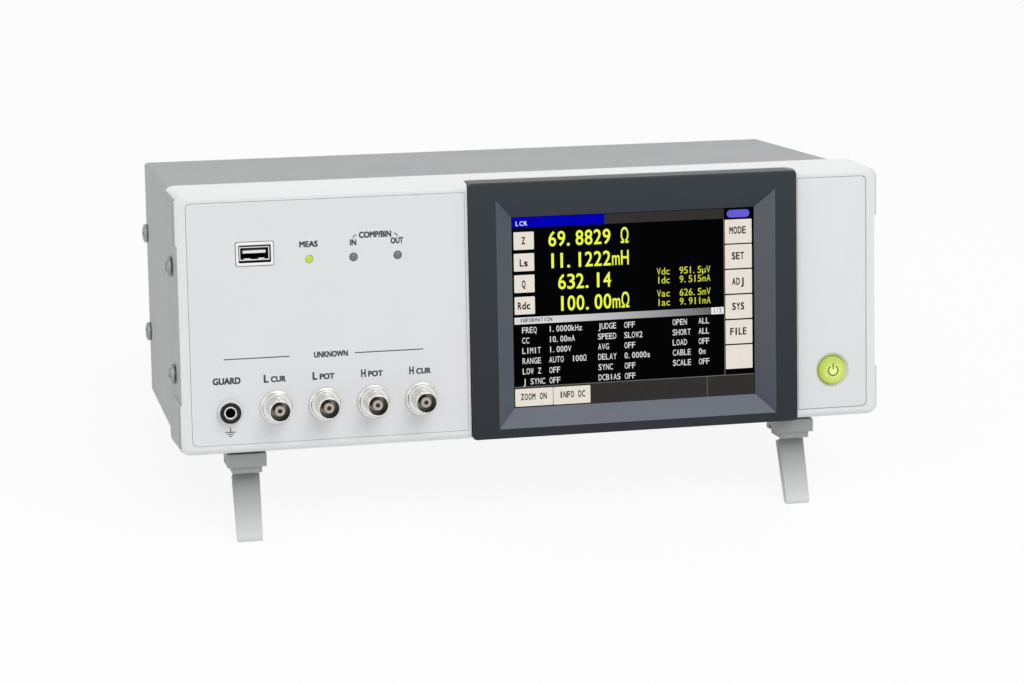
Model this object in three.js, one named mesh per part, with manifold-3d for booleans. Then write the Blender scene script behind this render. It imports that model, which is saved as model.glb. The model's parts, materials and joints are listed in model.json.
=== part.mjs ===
// Bench LCR meter: light moulded front frame, touch display, four coaxial jacks and a guard socket,
// a folded steel cover on a steel tray, and two flip-out front legs that tilt the instrument back.
//
// Units are millimetres and +Z is up. The instrument is built level in its own frame: X to the right
// of the front frame's middle, Y back from the front frame's face, Z up from the frame's lower edge.
// The last lines tilt it back until it stands on its leg tips and rear feet.
import * as THREE from 'three';
import { mergeVertices } from 'three/addons/utils/BufferGeometryUtils.js';
import Module from 'manifold-3d';

const wasm = await Module();
wasm.setup();

// ---- clearances ----
const fitGap = 0.3;
const slideGap = 0.4;
const past = 1;

// ---- front frame ----
const frameWidth = 330;
const frameHeight = 119;
const frameDepth = 33;
const frameWall = 3.4;
const frameFace = 4;
const frameCorner = 5;
const frameEdge = 3;
const frameDraft = 0.9;
const gripDepth = 1.6;
const gripMargin = 23.6;
const bossRadius = 3;

// ---- cover, tray and rear panel ----
const sheet = 1.2;
const coverInsetLeft = 1.5;
const coverInsetRight = 11;
const coverDrop = 0.5;
const coverBottom = 5;
const coverBack = 150;
const coverBend = 1.5;
const flangeSetback = 1.1;
const trayDrop = 0.3;
const trayBehindBezel = 2;
const trayFlangeDrop = 19;
const standoffHeight = 7;
const standoffRadius = 3;

// ---- panels ----
const panelThick = 1.2;
const panelCorner = 2.5;
const panelGroove = 0.5;
const panelSideMargin = 6.8;
const panelLowerMargin = 5.2;
const panelUpperMargin = 5;
const leftPanelWidth = 125.3;
const rightPanelWidth = 33.6;
const leftColumnGap = 1.7;
const rightColumnGap = 0.8;

// ---- display ----
const bezelBottom = 0.5;
const bezelDrop = 0.9;
const bezelProud = 2;
const bezelBack = 12;
const bezelEdge = 0.8;
const bezelCorner = 2;
const bezelBackCorner = 3;
const windowBorderLeft = 20.8;
const windowBorderRight = 19;
const windowBorderLower = 12.7;
const windowBorderUpper = 16.8;
const windowDepth = 4;
const bezelLip = 1.2;
const chamferSide = 8.4;
const chamferUpper = 8.7;
const chamferLower = 8.2;
const touchLap = 4.2;
const touchThick = 1.8;
const lcdLap = 5.2;
const lcdThick = 8;
const bracketSheet = 1;
const bracketReach = 3.4;
const bracketInset = 4.8;
const displayBoardInset = 9;
const displayBoardGap = 3;

// ---- boards inside ----
const boardThick = 1.6;
const supplyWidth = 60;
const supplyHeight = 36;
const boardToWall = 12;
const boardToSupply = 17;
const boardToDisplay = 14;
const supplyToRear = 28;
const shieldWidth = 96;
const shieldFromLeft = 14;
const shieldFromFront = 10;
const shieldFromBack = 25.5;
const shieldHeight = 22;
const shieldWall = 0.8;

// ---- connectors on the left panel, placed from the panel's left edge ----
const usbFromEdge = 30;
const usbBelowTop = 23.3;
const usbInsertWidth = 16.7;
const usbInsertHeight = 10.5;
const usbMouthWidth = 14.4;
const usbMouthHeight = 7.9;
const usbShellWidth = 13.6;
const usbShellHeight = 6.3;
const usbWall = 0.55;
const usbLength = 14;
const usbTongueWidth = 11;
const usbTongueThick = 1.9;
const ledRadius = 1.7;
const ledLength = 5.5;
const ledBelowTop = 26.8;
const firstLedFromEdge = 54.3;
const ledPitch = 20.05;
const ledNames = ['meas', 'in', 'out'];
const firstJackFromEdge = 38;
const jackPitch = 22;
const jackRise = 16;
const jackNames = ['l_cur', 'l_pot', 'h_pot', 'h_cur'];
const jackNutRadius = 7.5;
const jackNutThick = 2.2;
const jackBarrelRadius = 4.8;
const jackBarrelLength = 9.6;
const jackBore = 4.05;
const jackBoreDepth = 8.8;
const jackThreadRadius = 4.6;
const jackTail = 10;
const jackLugRadius = 1;
const jackLugReach = 0.8;
const jackLugFromRim = 3.2;
const jackCoreRadius = 2.4;
const jackCoreHole = 0.7;
const jackCoreInset = 1.4;
const guardFromEdge = 16.9;
const guardRise = 14.9;
const guardCollarRadius = 5.7;
const guardCollarThick = 0.9;
const guardBodyRadius = 4.9;
const guardTailRadius = 3.9;
const guardBodyProud = 3.4;
const guardSleeveRadius = 2.9;
const guardBore = 2.05;
const guardLength = 18;

// ---- power button ----
const buttonRise = 17.9;
const buttonRadius = 6.55;
const buttonProud = 1.3;
const buttonFlange = 1.4;
const buttonFlangeThick = 1.2;
const buttonTravel = 1.5;
const switchSize = 6.2;
const switchHeight = 3.6;

// ---- rear panel fittings, placed across by parts of the frame's width ----
const inletAcross = 0.34;
const lowerRowZ = 34;
const inletWidth = 27;
const inletHeight = 20;
const inletMouthWidth = 24.2;
const inletMouthHeight = 16.4;
const inletDepth = 21;
const inletMouthDepth = 16;
const inletPinWidth = 2;
const inletPinHeight = 4;
const inletPinSpread = 7;
const inletPinRise = 3.6;
const inletRim = 3;
const flangeThick = 2;
const mainsFromInlet = 34;
const mainsWidth = 13;
const mainsHeight = 19;
const mainsDepth = 16;
const mainsRim = 1.6;
const mainsWall = 1;
const rockerAngle = 10;
const rockerThick = 5;
const rockerPivotDepth = 2;
const rockerPivotRadius = 1.1;
const ioAcross = -0.012;
const ioWidth = 69.3;
const ioHeight = 12.5;
const ioShellWidth = 57;
const ioShellHeight = 10.6;
const ioProud = 5.8;
const ioBody = 9;
const deviceAcross = -0.218;
const deviceWidth = 12;
const deviceHeight = 10.9;
const deviceWall = 0.6;
const deviceLength = 16;
const deviceTongue = 5.6;
const deviceTongueThick = 3.2;
const slotAcross = -0.2;
const slotBelowTop = 38;
const slotWidth = 96;
const slotHeight = 26;
const blankLapSide = 7;
const blankLapUp = 2;
const blankThick = 1.2;
const ventWidth = 3;
const ventHeight = 30;
const ventPitch = 7;
const ventCount = 16;
const ventAcross = 0.2485;
const ventBelowTop = 34;

// ---- fasteners ----
const screwHeadRadius = 4.6;
const screwHeadHeight = 2.2;
const screwShankRadius = 1.9;
const screwShankLength = 12;
const screwMargin = 35;
const frontScrewInset = 12;
const rearScrewInset = 5;
const smallScrewRadius = 3;
const smallScrewHead = 1.6;
const smallShankRadius = 1.4;
const smallShankLength = 6;

// ---- legs and feet ----
const legInset = 27.4;
const padWidth = 17.6;
const padFront = 4;
const padLength = 16;
const padHeight = 6;
const stepWidth = 13.4;
const stepInset = 0.6;
const stepHeight = 2.8;
const hingeFromFront = 11;
const hingeDrop = 5;
const knuckleRadius = 3;
const legNeckWidth = 8;
const legTopWidth = 12.4;
const legTipWidth = 11.2;
const legThick = 4.4;
const legLength = 35.4;
const legLean = THREE.MathUtils.degToRad(21);
const soleDrop = 1.5;
const pinRadius = 1.2;
const pinLength = 16;
const rearFootRadius = 8;
const rearFootTaper = 1.5;
const rearFootFromBack = 17;
const rearFootInset = 28.4;

// ---- front layout, worked out from the values above ----
const frameLeft = -frameWidth / 2;
const frameRight = frameWidth / 2;
const gripTop = frameHeight - gripMargin;
const panelBottom = panelLowerMargin;
const panelTop = frameHeight - panelUpperMargin;
const leftPanelLeft = frameLeft + panelSideMargin;
const rightPanelRight = frameRight - panelSideMargin;
const rightPanelLeft = rightPanelRight - rightPanelWidth;
const bezelRight = rightPanelLeft - rightColumnGap;
const bezelLeft = leftPanelLeft + leftPanelWidth + leftColumnGap;
const bezelTop = frameHeight - bezelDrop;
const leftPanelRight = leftPanelLeft + leftPanelWidth;
const panelSeat = panelThick + fitGap;
const windowLeft = bezelLeft + windowBorderLeft;
const windowRight = bezelRight - windowBorderRight;
const windowBottom = bezelBottom + windowBorderLower;
const windowTop = bezelTop - windowBorderUpper;
const screenFace = windowDepth + bezelLip + fitGap;
const lcdFront = screenFace + touchThick + fitGap;
const lcdBack = lcdFront + lcdThick;
const bracketFront = lcdBack + fitGap;
const bracketBack = bracketFront + bracketSheet;
const displayBoardFront = bracketBack + displayBoardGap;
const usbX = leftPanelLeft + usbFromEdge;
const usbZ = panelTop - usbBelowTop;
const ledZ = panelTop - ledBelowTop;
const ledPlaces = ledNames.map((name, index) => ({
  name,
  x: leftPanelLeft + firstLedFromEdge + index * ledPitch,
}));
const jackZ = panelBottom + jackRise;
const jackPlaces = jackNames.map((name, index) => ({
  name,
  x: leftPanelLeft + firstJackFromEdge + index * jackPitch,
}));
const guardX = leftPanelLeft + guardFromEdge;
const guardZ = panelBottom + guardRise;
const buttonX = (rightPanelLeft + rightPanelRight) / 2;
const buttonZ = panelBottom + buttonRise;
const buttonBoardSize = 2 * (buttonRadius + buttonFlange) + 10;
const buttonBoardFront = frameFace + 8;
const jackBoardFront = jackTail + fitGap;

// ---- body layout ----
const coverLeft = frameLeft + coverInsetLeft;
const coverRight = frameRight - coverInsetRight;
const coverTop = frameHeight - coverDrop;
const coverFront = frameDepth + fitGap;
const trayLeft = coverLeft + sheet + flangeSetback;
const trayRight = coverRight - sheet - flangeSetback;
const trayFront = bezelBack + trayBehindBezel;
const trayBottom = coverBottom - trayDrop;
const trayFloor = trayBottom + sheet;
const trayBack = coverBack - 1;
const trayFlangeTop = frameHeight - trayFlangeDrop;
const frontScrewY = frameDepth - frontScrewInset;
const rearScrewY = coverBack - rearScrewInset;
const rearPanelBack = rearScrewY - screwShankRadius - 3 * fitGap;
const rearPanelFront = rearPanelBack - sheet;
const rearPanelBottom = trayFloor + fitGap;
const rearPanelTop = coverTop - sheet - fitGap;
const inletX = inletAcross * frameWidth;
const mainsX = inletX - mainsFromInlet;
const ioX = ioAcross * frameWidth;
const deviceX = deviceAcross * frameWidth;
const slotX = slotAcross * frameWidth;
const slotZ = frameHeight - slotBelowTop;
const ventX = ventAcross * frameWidth;
const ventZ = frameHeight - ventBelowTop;
const screwHeights = { lower: screwMargin, upper: frameHeight - screwMargin };

// ---- stance: the leg soles and the rear feet's heels stand on one plane ----
const hingeY = padFront + hingeFromFront;
const hingeZ = -hingeDrop;
const footBottom = -(fitGap + padHeight + stepHeight);
const rearFootY = coverBack - rearFootFromBack;
const padBehindHinge = padLength - hingeFromFront;
const legNeckLength = 2 * fitGap + Math.max(
  Math.hypot(padBehindHinge, fitGap + padHeight - hingeDrop),
  Math.hypot(padBehindHinge - stepInset, -footBottom - hingeDrop),
);
const tipY = hingeY - legLength * Math.sin(legLean);
const tipZ = hingeZ - legLength * Math.cos(legLean);
const span = rearFootY + rearFootRadius - rearFootTaper - tipY;
const rise = footBottom - tipZ;
const tilt = Math.atan2(rise, span) + Math.asin(soleDrop / Math.hypot(span, rise));

// ---- shape helpers ----
function solidOf(geometry) {
  const bare = geometry.clone();
  bare.deleteAttribute('normal');
  bare.deleteAttribute('uv');
  const merged = mergeVertices(bare, 1e-5);
  const mesh = new wasm.Mesh({
    numProp: 3,
    vertProperties: new Float32Array(merged.attributes.position.array),
    triVerts: new Uint32Array(merged.index.array),
  });
  return new wasm.Manifold(mesh);
}

function geometryOf(solid) {
  const mesh = solid.getMesh();
  const geometry = new THREE.BufferGeometry();
  geometry.setAttribute('position', new THREE.BufferAttribute(new Float32Array(mesh.vertProperties), 3));
  geometry.setIndex(new THREE.BufferAttribute(new Uint32Array(mesh.triVerts), 1));
  geometry.computeVertexNormals();
  return geometry;
}

function block(x0, x1, y0, y1, z0, z1) {
  const geometry = new THREE.BoxGeometry(x1 - x0, y1 - y0, z1 - z0);
  geometry.translate((x0 + x1) / 2, (y0 + y1) / 2, (z0 + z1) / 2);
  return solidOf(geometry);
}

function roundedRect(left, right, bottom, top, radius) {
  const shape = new THREE.Shape();
  shape.absarc(right - radius, bottom + radius, radius, -Math.PI / 2, 0);
  shape.absarc(right - radius, top - radius, radius, 0, Math.PI / 2);
  shape.absarc(left + radius, top - radius, radius, Math.PI / 2, Math.PI);
  shape.absarc(left + radius, bottom + radius, radius, Math.PI, Math.PI * 1.5);
  shape.closePath();
  return shape;
}

// A flat shape drawn in X and Z, standing from front to back along Y.
function slab(shape, front, back, segments = 4) {
  const geometry = new THREE.ExtrudeGeometry(shape, {
    depth: back - front,
    bevelEnabled: false,
    curveSegments: segments,
  });
  geometry.rotateX(Math.PI / 2);
  geometry.translate(0, back, 0);
  return solidOf(geometry);
}

// The same, with its front edge rounded over; the shape is the full outline behind the rounding.
function easedSlab(shape, front, back, edge, steps, segments = 4) {
  const geometry = new THREE.ExtrudeGeometry(shape, {
    depth: back - front - edge,
    bevelThickness: edge,
    bevelSize: edge,
    bevelOffset: -edge,
    bevelSegments: steps,
    curveSegments: segments,
  });
  geometry.rotateX(Math.PI / 2);
  geometry.translate(0, back, 0);
  return geometry;
}

// A flat shape drawn in X and Y, standing up along Z.
function post(shape, bottom, top, segments = 4) {
  const geometry = new THREE.ExtrudeGeometry(shape, {
    depth: top - bottom,
    bevelEnabled: false,
    curveSegments: segments,
  });
  geometry.translate(0, 0, bottom);
  return solidOf(geometry);
}

// A turned shape about the Y axis, from points of radius and Y.
function turned(points, segments = 16) {
  const profile = points.map(([radius, along]) => new THREE.Vector2(radius, along));
  return solidOf(new THREE.LatheGeometry(profile, segments));
}

function peg(radius, front, back, segments = 16) {
  return turned([[0, front], [radius, front], [radius, back], [0, back]], segments);
}

function moved(solid, x, y, z) {
  return solid.translate([x, y, z]);
}

// ---- front frame and the holes through it ----
function frontPassages(front, back) {
  const round = (radius, x, z) => moved(peg(radius, front, back), x, 0, z);
  const holes = jackPlaces.map((jack) => round(jackThreadRadius + fitGap, jack.x, jackZ));
  holes.push(...ledPlaces.map((led) => round(ledRadius + fitGap, led.x, ledZ)));
  holes.push(round(guardTailRadius + fitGap, guardX, guardZ));
  holes.push(moved(peg(buttonRadius + slideGap, front, back, 24), buttonX, 0, buttonZ));
  const halfWidth = usbInsertWidth / 2 + fitGap;
  const halfHeight = usbInsertHeight / 2 + fitGap;
  holes.push(block(usbX - halfWidth, usbX + halfWidth, front, back, usbZ - halfHeight, usbZ + halfHeight));
  return holes;
}

function boardPosts(left, right, bottom, top, back) {
  const posts = [];
  for (const x of [left, right]) {
    for (const z of [bottom, top]) {
      posts.push(moved(peg(bossRadius, frameFace - past, back, 8), x, 0, z));
    }
  }
  return posts;
}

const jackBoard = {
  left: leftPanelLeft + 6,
  right: leftPanelRight - 13,
  bottom: panelBottom + 5,
  top: panelTop - 11,
};
const buttonBoard = {
  left: bezelRight + bracketReach + 4 * fitGap,
  right: buttonX + buttonBoardSize / 2 - 4,
  bottom: buttonZ - buttonBoardSize / 2,
  top: buttonZ + buttonBoardSize / 2,
};

function narrowed(geometry) {
  const place = geometry.attributes.position;
  const middle = frameHeight / 2;
  for (let i = 0; i < place.count; i += 1) {
    const toFront = 1 - place.getY(i) / frameDepth;
    place.setX(i, place.getX(i) * (1 - (frameDraft / frameRight) * toFront));
    place.setZ(i, middle + (place.getZ(i) - middle) * (1 - (frameDraft / middle) * toFront));
  }
  return geometry;
}

function makeFrontFrame() {
  const outline = roundedRect(frameLeft, frameRight, 0, frameHeight, frameCorner);
  let frame = solidOf(narrowed(easedSlab(outline, 0, frameDepth + frameEdge, frameEdge, 3, 4)));
  frame = frame.subtract(block(frameLeft - past, frameRight + past, frameDepth,
    frameDepth + 2 * frameEdge, -past, frameHeight + past));
  const cavityLeft = trayLeft - fitGap;
  const cavityRight = trayRight + fitGap;
  frame = frame.subtract(block(cavityLeft, cavityRight, frameFace, frameDepth + past,
    trayBottom - fitGap, frameHeight - frameWall));
  for (const side of [-1, 1]) {
    const inner = side * (frameRight - gripDepth);
    const outer = side * (frameRight + past);
    frame = frame.subtract(block(Math.min(inner, outer), Math.max(inner, outer), -past,
      frameDepth + past, gripMargin, gripTop));
  }
  frame = frame.subtract(post(bezelPlan(fitGap), -past, frameHeight + past));
  const leftPocket = roundedRect(leftPanelLeft - panelGroove, leftPanelRight + panelGroove,
    panelBottom - panelGroove, panelTop + panelGroove, panelCorner + panelGroove);
  const rightPocket = roundedRect(rightPanelLeft - panelGroove, rightPanelRight + panelGroove,
    panelBottom - panelGroove, panelTop + panelGroove, panelCorner + panelGroove);
  frame = frame.subtract(slab(leftPocket, -past, panelSeat));
  frame = frame.subtract(slab(rightPocket, -past, panelSeat));
  const posts = [
    ...boardPosts(jackBoard.left + 5, jackBoard.right - 5, jackBoard.bottom + 30, jackBoard.top - 5,
      jackBoardFront - fitGap),
    ...boardPosts(buttonBoard.left + 3, buttonBoard.right - 3, buttonBoard.bottom + 3,
      buttonBoard.top - 3, buttonBoardFront - fitGap),
  ];
  for (const boss of posts) frame = frame.add(boss);
  for (const hole of frontPassages(-past, frameFace + past)) frame = frame.subtract(hole);
  for (const place of frontScrewPlaces()) {
    frame = frame.subtract(screwHole(place));
  }
  return frame;
}

function makePanel(left, right) {
  let panel = slab(roundedRect(left, right, panelBottom, panelTop, panelCorner), 0, panelThick);
  for (const hole of frontPassages(-past, panelThick + past)) panel = panel.subtract(hole);
  return panel;
}

// ---- display ----
// The bezel seen from above: square in front, rounded where it sits in the frame's notch.
function bezelPlan(grow) {
  return roundedRect(bezelLeft - grow, bezelRight + grow, -frameDepth, bezelBack + grow,
    bezelBackCorner + grow);
}

// The sunk window with its four sloping sides, wider toward the front.
function bezelWell() {
  const sides = {
    left: [windowLeft, -chamferSide],
    right: [windowRight, chamferSide],
    low: [windowBottom, -chamferLower],
    high: [windowTop, chamferUpper],
  };
  const grow = 1 + past / (bezelProud + windowDepth);
  const geometry = new THREE.BoxGeometry(2, 2, 2);
  const corner = geometry.attributes.position;
  for (let i = 0; i < corner.count; i += 1) {
    const front = corner.getY(i) < 0;
    const [innerX, reachX] = corner.getX(i) < 0 ? sides.left : sides.right;
    const [innerZ, reachZ] = corner.getZ(i) < 0 ? sides.low : sides.high;
    const slope = front ? grow : 0;
    corner.setXYZ(i, innerX + reachX * slope, front ? -bezelProud - past : windowDepth,
      innerZ + reachZ * slope);
  }
  return solidOf(geometry);
}

function makeBezel() {
  const outline = roundedRect(bezelLeft, bezelRight, bezelBottom, bezelTop, bezelCorner);
  let bezel = solidOf(easedSlab(outline, -bezelProud, bezelBack + bezelEdge, bezelEdge, 1, 2));
  bezel = bezel.subtract(block(bezelLeft - past, bezelRight + past, bezelBack, bezelBack + 2 * past,
    bezelBottom - past, bezelTop + past));
  bezel = bezel.intersect(post(bezelPlan(0), bezelBottom - past, bezelTop + past));
  bezel = bezel.subtract(bezelWell());
  bezel = bezel.subtract(block(windowLeft, windowRight, windowDepth - past, bezelBack, windowBottom,
    windowTop));
  return bezel.subtract(block(windowLeft - lcdLap - fitGap, windowRight + lcdLap + fitGap,
    windowDepth + bezelLip, bezelBack + past, windowBottom - lcdLap - fitGap,
    windowTop + lcdLap + fitGap));
}

function makeTouchPanel() {
  return slab(roundedRect(windowLeft - touchLap, windowRight + touchLap, windowBottom - touchLap,
    windowTop + touchLap, 1), screenFace, screenFace + touchThick, 2);
}

function makeLcdModule() {
  return block(windowLeft - lcdLap, windowRight + lcdLap, lcdFront, lcdBack, windowBottom - lcdLap,
    windowTop + lcdLap);
}

const displayBoard = {
  left: windowLeft,
  right: windowRight,
  bottom: windowBottom + displayBoardInset,
  top: windowTop - displayBoardInset,
};

function makeLcdBracket() {
  const left = bezelLeft - bracketReach;
  const right = bezelRight + bracketReach;
  const bottom = windowBottom + bracketInset;
  const top = windowTop - bracketInset;
  const seat = frameFace + fitGap;
  const plan = new THREE.Shape();
  plan.moveTo(left, seat);
  plan.lineTo(left + bracketSheet, seat);
  plan.lineTo(left + bracketSheet, bracketFront);
  plan.lineTo(right - bracketSheet, bracketFront);
  plan.lineTo(right - bracketSheet, seat);
  plan.lineTo(right, seat);
  plan.lineTo(right, bracketBack);
  plan.lineTo(left, bracketBack);
  plan.closePath();
  let bracket = post(plan, bottom, top);
  for (const x of [displayBoard.left + 4, displayBoard.right - 4]) {
    for (const z of [displayBoard.bottom + 4, displayBoard.top - 4]) {
      const spacer = peg(2.5, bracketBack - 0.5, displayBoardFront - fitGap, 8);
      bracket = bracket.add(moved(spacer, x, 0, z));
    }
  }
  return bracket;
}

function makeBoard(edges, front) {
  return block(edges.left, edges.right, front, front + boardThick, edges.bottom, edges.top);
}

// The board behind the jacks lets the USB shell and the guard sleeve through.
function makeJackBoard() {
  const behind = jackBoardFront + boardThick + past;
  const halfWidth = usbShellWidth / 2 + fitGap;
  const halfHeight = usbShellHeight / 2 + fitGap;
  return makeBoard(jackBoard, jackBoardFront)
    .subtract(block(usbX - halfWidth, usbX + halfWidth, 0, behind, usbZ - halfHeight, usbZ + halfHeight))
    .subtract(moved(peg(guardSleeveRadius + fitGap, 0, behind), guardX, 0, guardZ));
}

// ---- connectors ----
function makeUsbInsert() {
  const outer = roundedRect(-usbInsertWidth / 2, usbInsertWidth / 2, -usbInsertHeight / 2,
    usbInsertHeight / 2, 0.8);
  const insert = slab(outer, -0.5, frameFace);
  return insert.subtract(block(-usbMouthWidth / 2, usbMouthWidth / 2, -past, frameFace + past,
    -usbMouthHeight / 2, usbMouthHeight / 2));
}

function makeUsbShell() {
  const halfWidth = usbShellWidth / 2;
  const halfHeight = usbShellHeight / 2;
  const back = usbLength + 1;
  const shell = block(-halfWidth, halfWidth, 1, back, -halfHeight, halfHeight);
  return shell.subtract(block(usbWall - halfWidth, halfWidth - usbWall, 0, usbLength,
    usbWall - halfHeight, halfHeight - usbWall));
}

function makeUsbTongue() {
  const top = usbShellHeight / 2 - usbWall - 0.9;
  return block(-usbTongueWidth / 2, usbTongueWidth / 2, 2.6, usbLength - fitGap,
    top - usbTongueThick, top);
}

function makeLed() {
  return turned([[0, -0.5], [ledRadius * 0.6, -0.4], [ledRadius, 0], [ledRadius, ledLength],
    [0, ledLength]], 10);
}

function makeJack() {
  const nutFront = -fitGap - jackNutThick;
  const rim = nutFront - jackBarrelLength;
  const floor = rim + jackBoreDepth;
  const nutEdge = 0.5;
  const jack = turned([[0, floor], [jackBore, floor], [jackBore, rim], [jackBarrelRadius, rim],
    [jackBarrelRadius, nutFront], [jackNutRadius - nutEdge, nutFront],
    [jackNutRadius, nutFront + nutEdge], [jackNutRadius, -fitGap], [jackThreadRadius, -fitGap],
    [jackThreadRadius, jackTail], [0, jackTail]], 20);
  const lug = new THREE.CylinderGeometry(jackLugRadius, jackLugRadius,
    2 * (jackBarrelRadius + jackLugReach), 8);
  lug.rotateX(Math.PI / 2);
  lug.translate(0, rim + jackLugFromRim, 0);
  return jack.add(solidOf(lug).subtract(peg(jackBore, rim - past, floor, 20)));
}

function makeJackCore() {
  const rim = -fitGap - jackNutThick - jackBarrelLength;
  const floor = rim + jackBoreDepth;
  const face = rim + jackCoreInset;
  return turned([[0, face + 4.5], [jackCoreHole, face + 4.5], [jackCoreHole, face],
    [jackCoreRadius, face], [jackCoreRadius, floor - fitGap], [0, floor - fitGap]], 12);
}

function makeGuardSocket() {
  const collarFront = -fitGap - guardCollarThick;
  const front = -guardBodyProud;
  const inner = guardSleeveRadius + fitGap;
  const tail = guardTailRadius;
  return turned([[inner, front], [guardBodyRadius - 0.5, front], [guardBodyRadius, front + 0.5],
    [guardBodyRadius, collarFront], [guardCollarRadius, collarFront], [guardCollarRadius, -fitGap],
    [tail, -fitGap], [tail, frameFace + 6], [inner, frameFace + 6], [inner, front]], 20);
}

function makeGuardSleeve() {
  const front = -guardBodyProud + 0.6;
  const back = front + guardLength;
  return turned([[0, back - 2], [guardBore, back - 2], [guardBore, front], [guardSleeveRadius, front],
    [guardSleeveRadius, back], [0, back]], 16);
}

// ---- power button ----
function makePowerButton() {
  const flangeFront = frameFace + fitGap;
  const flangeBack = flangeFront + buttonFlangeThick;
  return turned([[0, -buttonProud], [buttonRadius * 0.7, -buttonProud + 0.15],
    [buttonRadius - 0.5, -buttonProud + 0.4], [buttonRadius, -buttonProud + 0.9],
    [buttonRadius, flangeFront], [buttonRadius + buttonFlange, flangeFront],
    [buttonRadius + buttonFlange, flangeBack], [0, flangeBack]], 24);
}

function makeButtonSwitch() {
  const back = buttonBoardFront - fitGap;
  const front = back - switchHeight + buttonTravel;
  const half = switchSize / 2;
  const body = block(-half, half, front, back, -half, half);
  const plunger = peg(1.7, frameFace + fitGap + buttonFlangeThick + buttonTravel + fitGap, front + 0.5, 10);
  return body.add(plunger);
}

// ---- cover, tray and rear panel ----
function makeTopCover() {
  const outline = new THREE.Shape();
  outline.moveTo(coverLeft, coverBottom);
  outline.lineTo(coverLeft + sheet, coverBottom);
  outline.lineTo(coverLeft + sheet, coverTop - sheet);
  outline.lineTo(coverRight - sheet, coverTop - sheet);
  outline.lineTo(coverRight - sheet, coverBottom);
  outline.lineTo(coverRight, coverBottom);
  outline.absarc(coverRight - coverBend, coverTop - coverBend, coverBend, 0, Math.PI / 2);
  outline.absarc(coverLeft + coverBend, coverTop - coverBend, coverBend, Math.PI / 2, Math.PI);
  outline.closePath();
  let cover = slab(outline, coverFront, coverBack, 4);
  for (const place of rearScrewPlaces()) cover = cover.subtract(screwHole(place));
  return cover;
}

function makeTray() {
  let tray = block(trayLeft, trayRight, trayFront, trayBack, trayBottom, trayFlangeTop);
  tray = tray.subtract(block(trayLeft + sheet, trayRight - sheet, trayFront - past, trayBack + past,
    trayFloor, trayFlangeTop + past));
  for (const [x, y] of standoffPlaces()) {
    const riser = new THREE.CylinderGeometry(standoffRadius, standoffRadius, standoffHeight + 0.5, 8);
    riser.rotateX(Math.PI / 2);
    riser.translate(x, y, trayFloor + (standoffHeight - 0.5) / 2);
    tray = tray.add(solidOf(riser));
  }
  for (const place of [...frontScrewPlaces(), ...rearScrewPlaces()]) {
    tray = tray.subtract(screwHole(place));
  }
  return tray;
}

const supply = {
  left: trayRight - boardToWall - supplyWidth,
  right: trayRight - boardToWall,
  front: displayBoardFront + boardThick + boardToDisplay,
  back: rearPanelFront - supplyToRear,
};
const mainBoard = {
  left: trayLeft + boardToWall,
  right: supply.left - boardToSupply,
  front: supply.front,
  back: rearPanelFront - boardToWall,
};

function standoffPlaces() {
  const places = [];
  for (const x of [mainBoard.left + 6, mainBoard.right - 6]) {
    for (const y of [mainBoard.front + 6, mainBoard.back - 6]) places.push([x, y]);
  }
  return places;
}

function makeMainBoard() {
  const bottom = trayFloor + standoffHeight + fitGap;
  return block(mainBoard.left, mainBoard.right, mainBoard.front, mainBoard.back, bottom,
    bottom + boardThick);
}

function makeShield() {
  const bottom = trayFloor + standoffHeight + fitGap + boardThick + fitGap;
  const left = mainBoard.left + shieldFromLeft;
  const right = left + shieldWidth;
  const front = mainBoard.front + shieldFromFront;
  const back = mainBoard.back - shieldFromBack;
  const shell = block(left, right, front, back, bottom, bottom + shieldHeight);
  return shell.subtract(block(left + shieldWall, right - shieldWall, front + shieldWall,
    back - shieldWall, bottom - past, bottom + shieldHeight - shieldWall));
}

function makeSupply() {
  return block(supply.left, supply.right, supply.front, supply.back, trayFloor + fitGap,
    trayFloor + fitGap + supplyHeight);
}

function makeRearPanel() {
  const left = trayLeft + sheet + fitGap;
  const right = trayRight - sheet - fitGap;
  const cut = (x, z, width, height) => block(x - width / 2 - fitGap, x + width / 2 + fitGap,
    rearPanelFront - past, rearPanelBack + past, z - height / 2 - fitGap, z + height / 2 + fitGap);
  let panel = block(left, right, rearPanelFront, rearPanelBack, rearPanelBottom, rearPanelTop);
  panel = panel.subtract(cut(inletX, lowerRowZ, inletWidth, inletHeight));
  panel = panel.subtract(cut(mainsX, lowerRowZ, mainsWidth, mainsHeight));
  panel = panel.subtract(cut(ioX, lowerRowZ, ioShellWidth, ioShellHeight));
  panel = panel.subtract(cut(deviceX, lowerRowZ, deviceWidth, deviceHeight));
  panel = panel.subtract(cut(slotX, slotZ, slotWidth, slotHeight));
  for (let i = 0; i < ventCount; i += 1) {
    const x = ventX + (i - (ventCount - 1) / 2) * ventPitch;
    panel = panel.subtract(cut(x, ventZ, ventWidth, ventHeight));
  }
  for (const x of blankScrewPlaces()) {
    panel = panel.subtract(moved(peg(smallShankRadius + fitGap, rearPanelFront - past,
      rearPanelBack + past, 10), x, 0, slotZ));
  }
  return panel;
}

// ---- rear fittings, each built round its own middle with its flange on the panel ----
function flanged(width, height, depth, rim) {
  const body = block(-width / 2, width / 2, -depth, fitGap + flangeThick / 2, -height / 2, height / 2);
  const flange = block(-width / 2 - rim, width / 2 + rim, fitGap, fitGap + flangeThick,
    -height / 2 - rim, height / 2 + rim);
  return body.add(flange);
}

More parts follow.
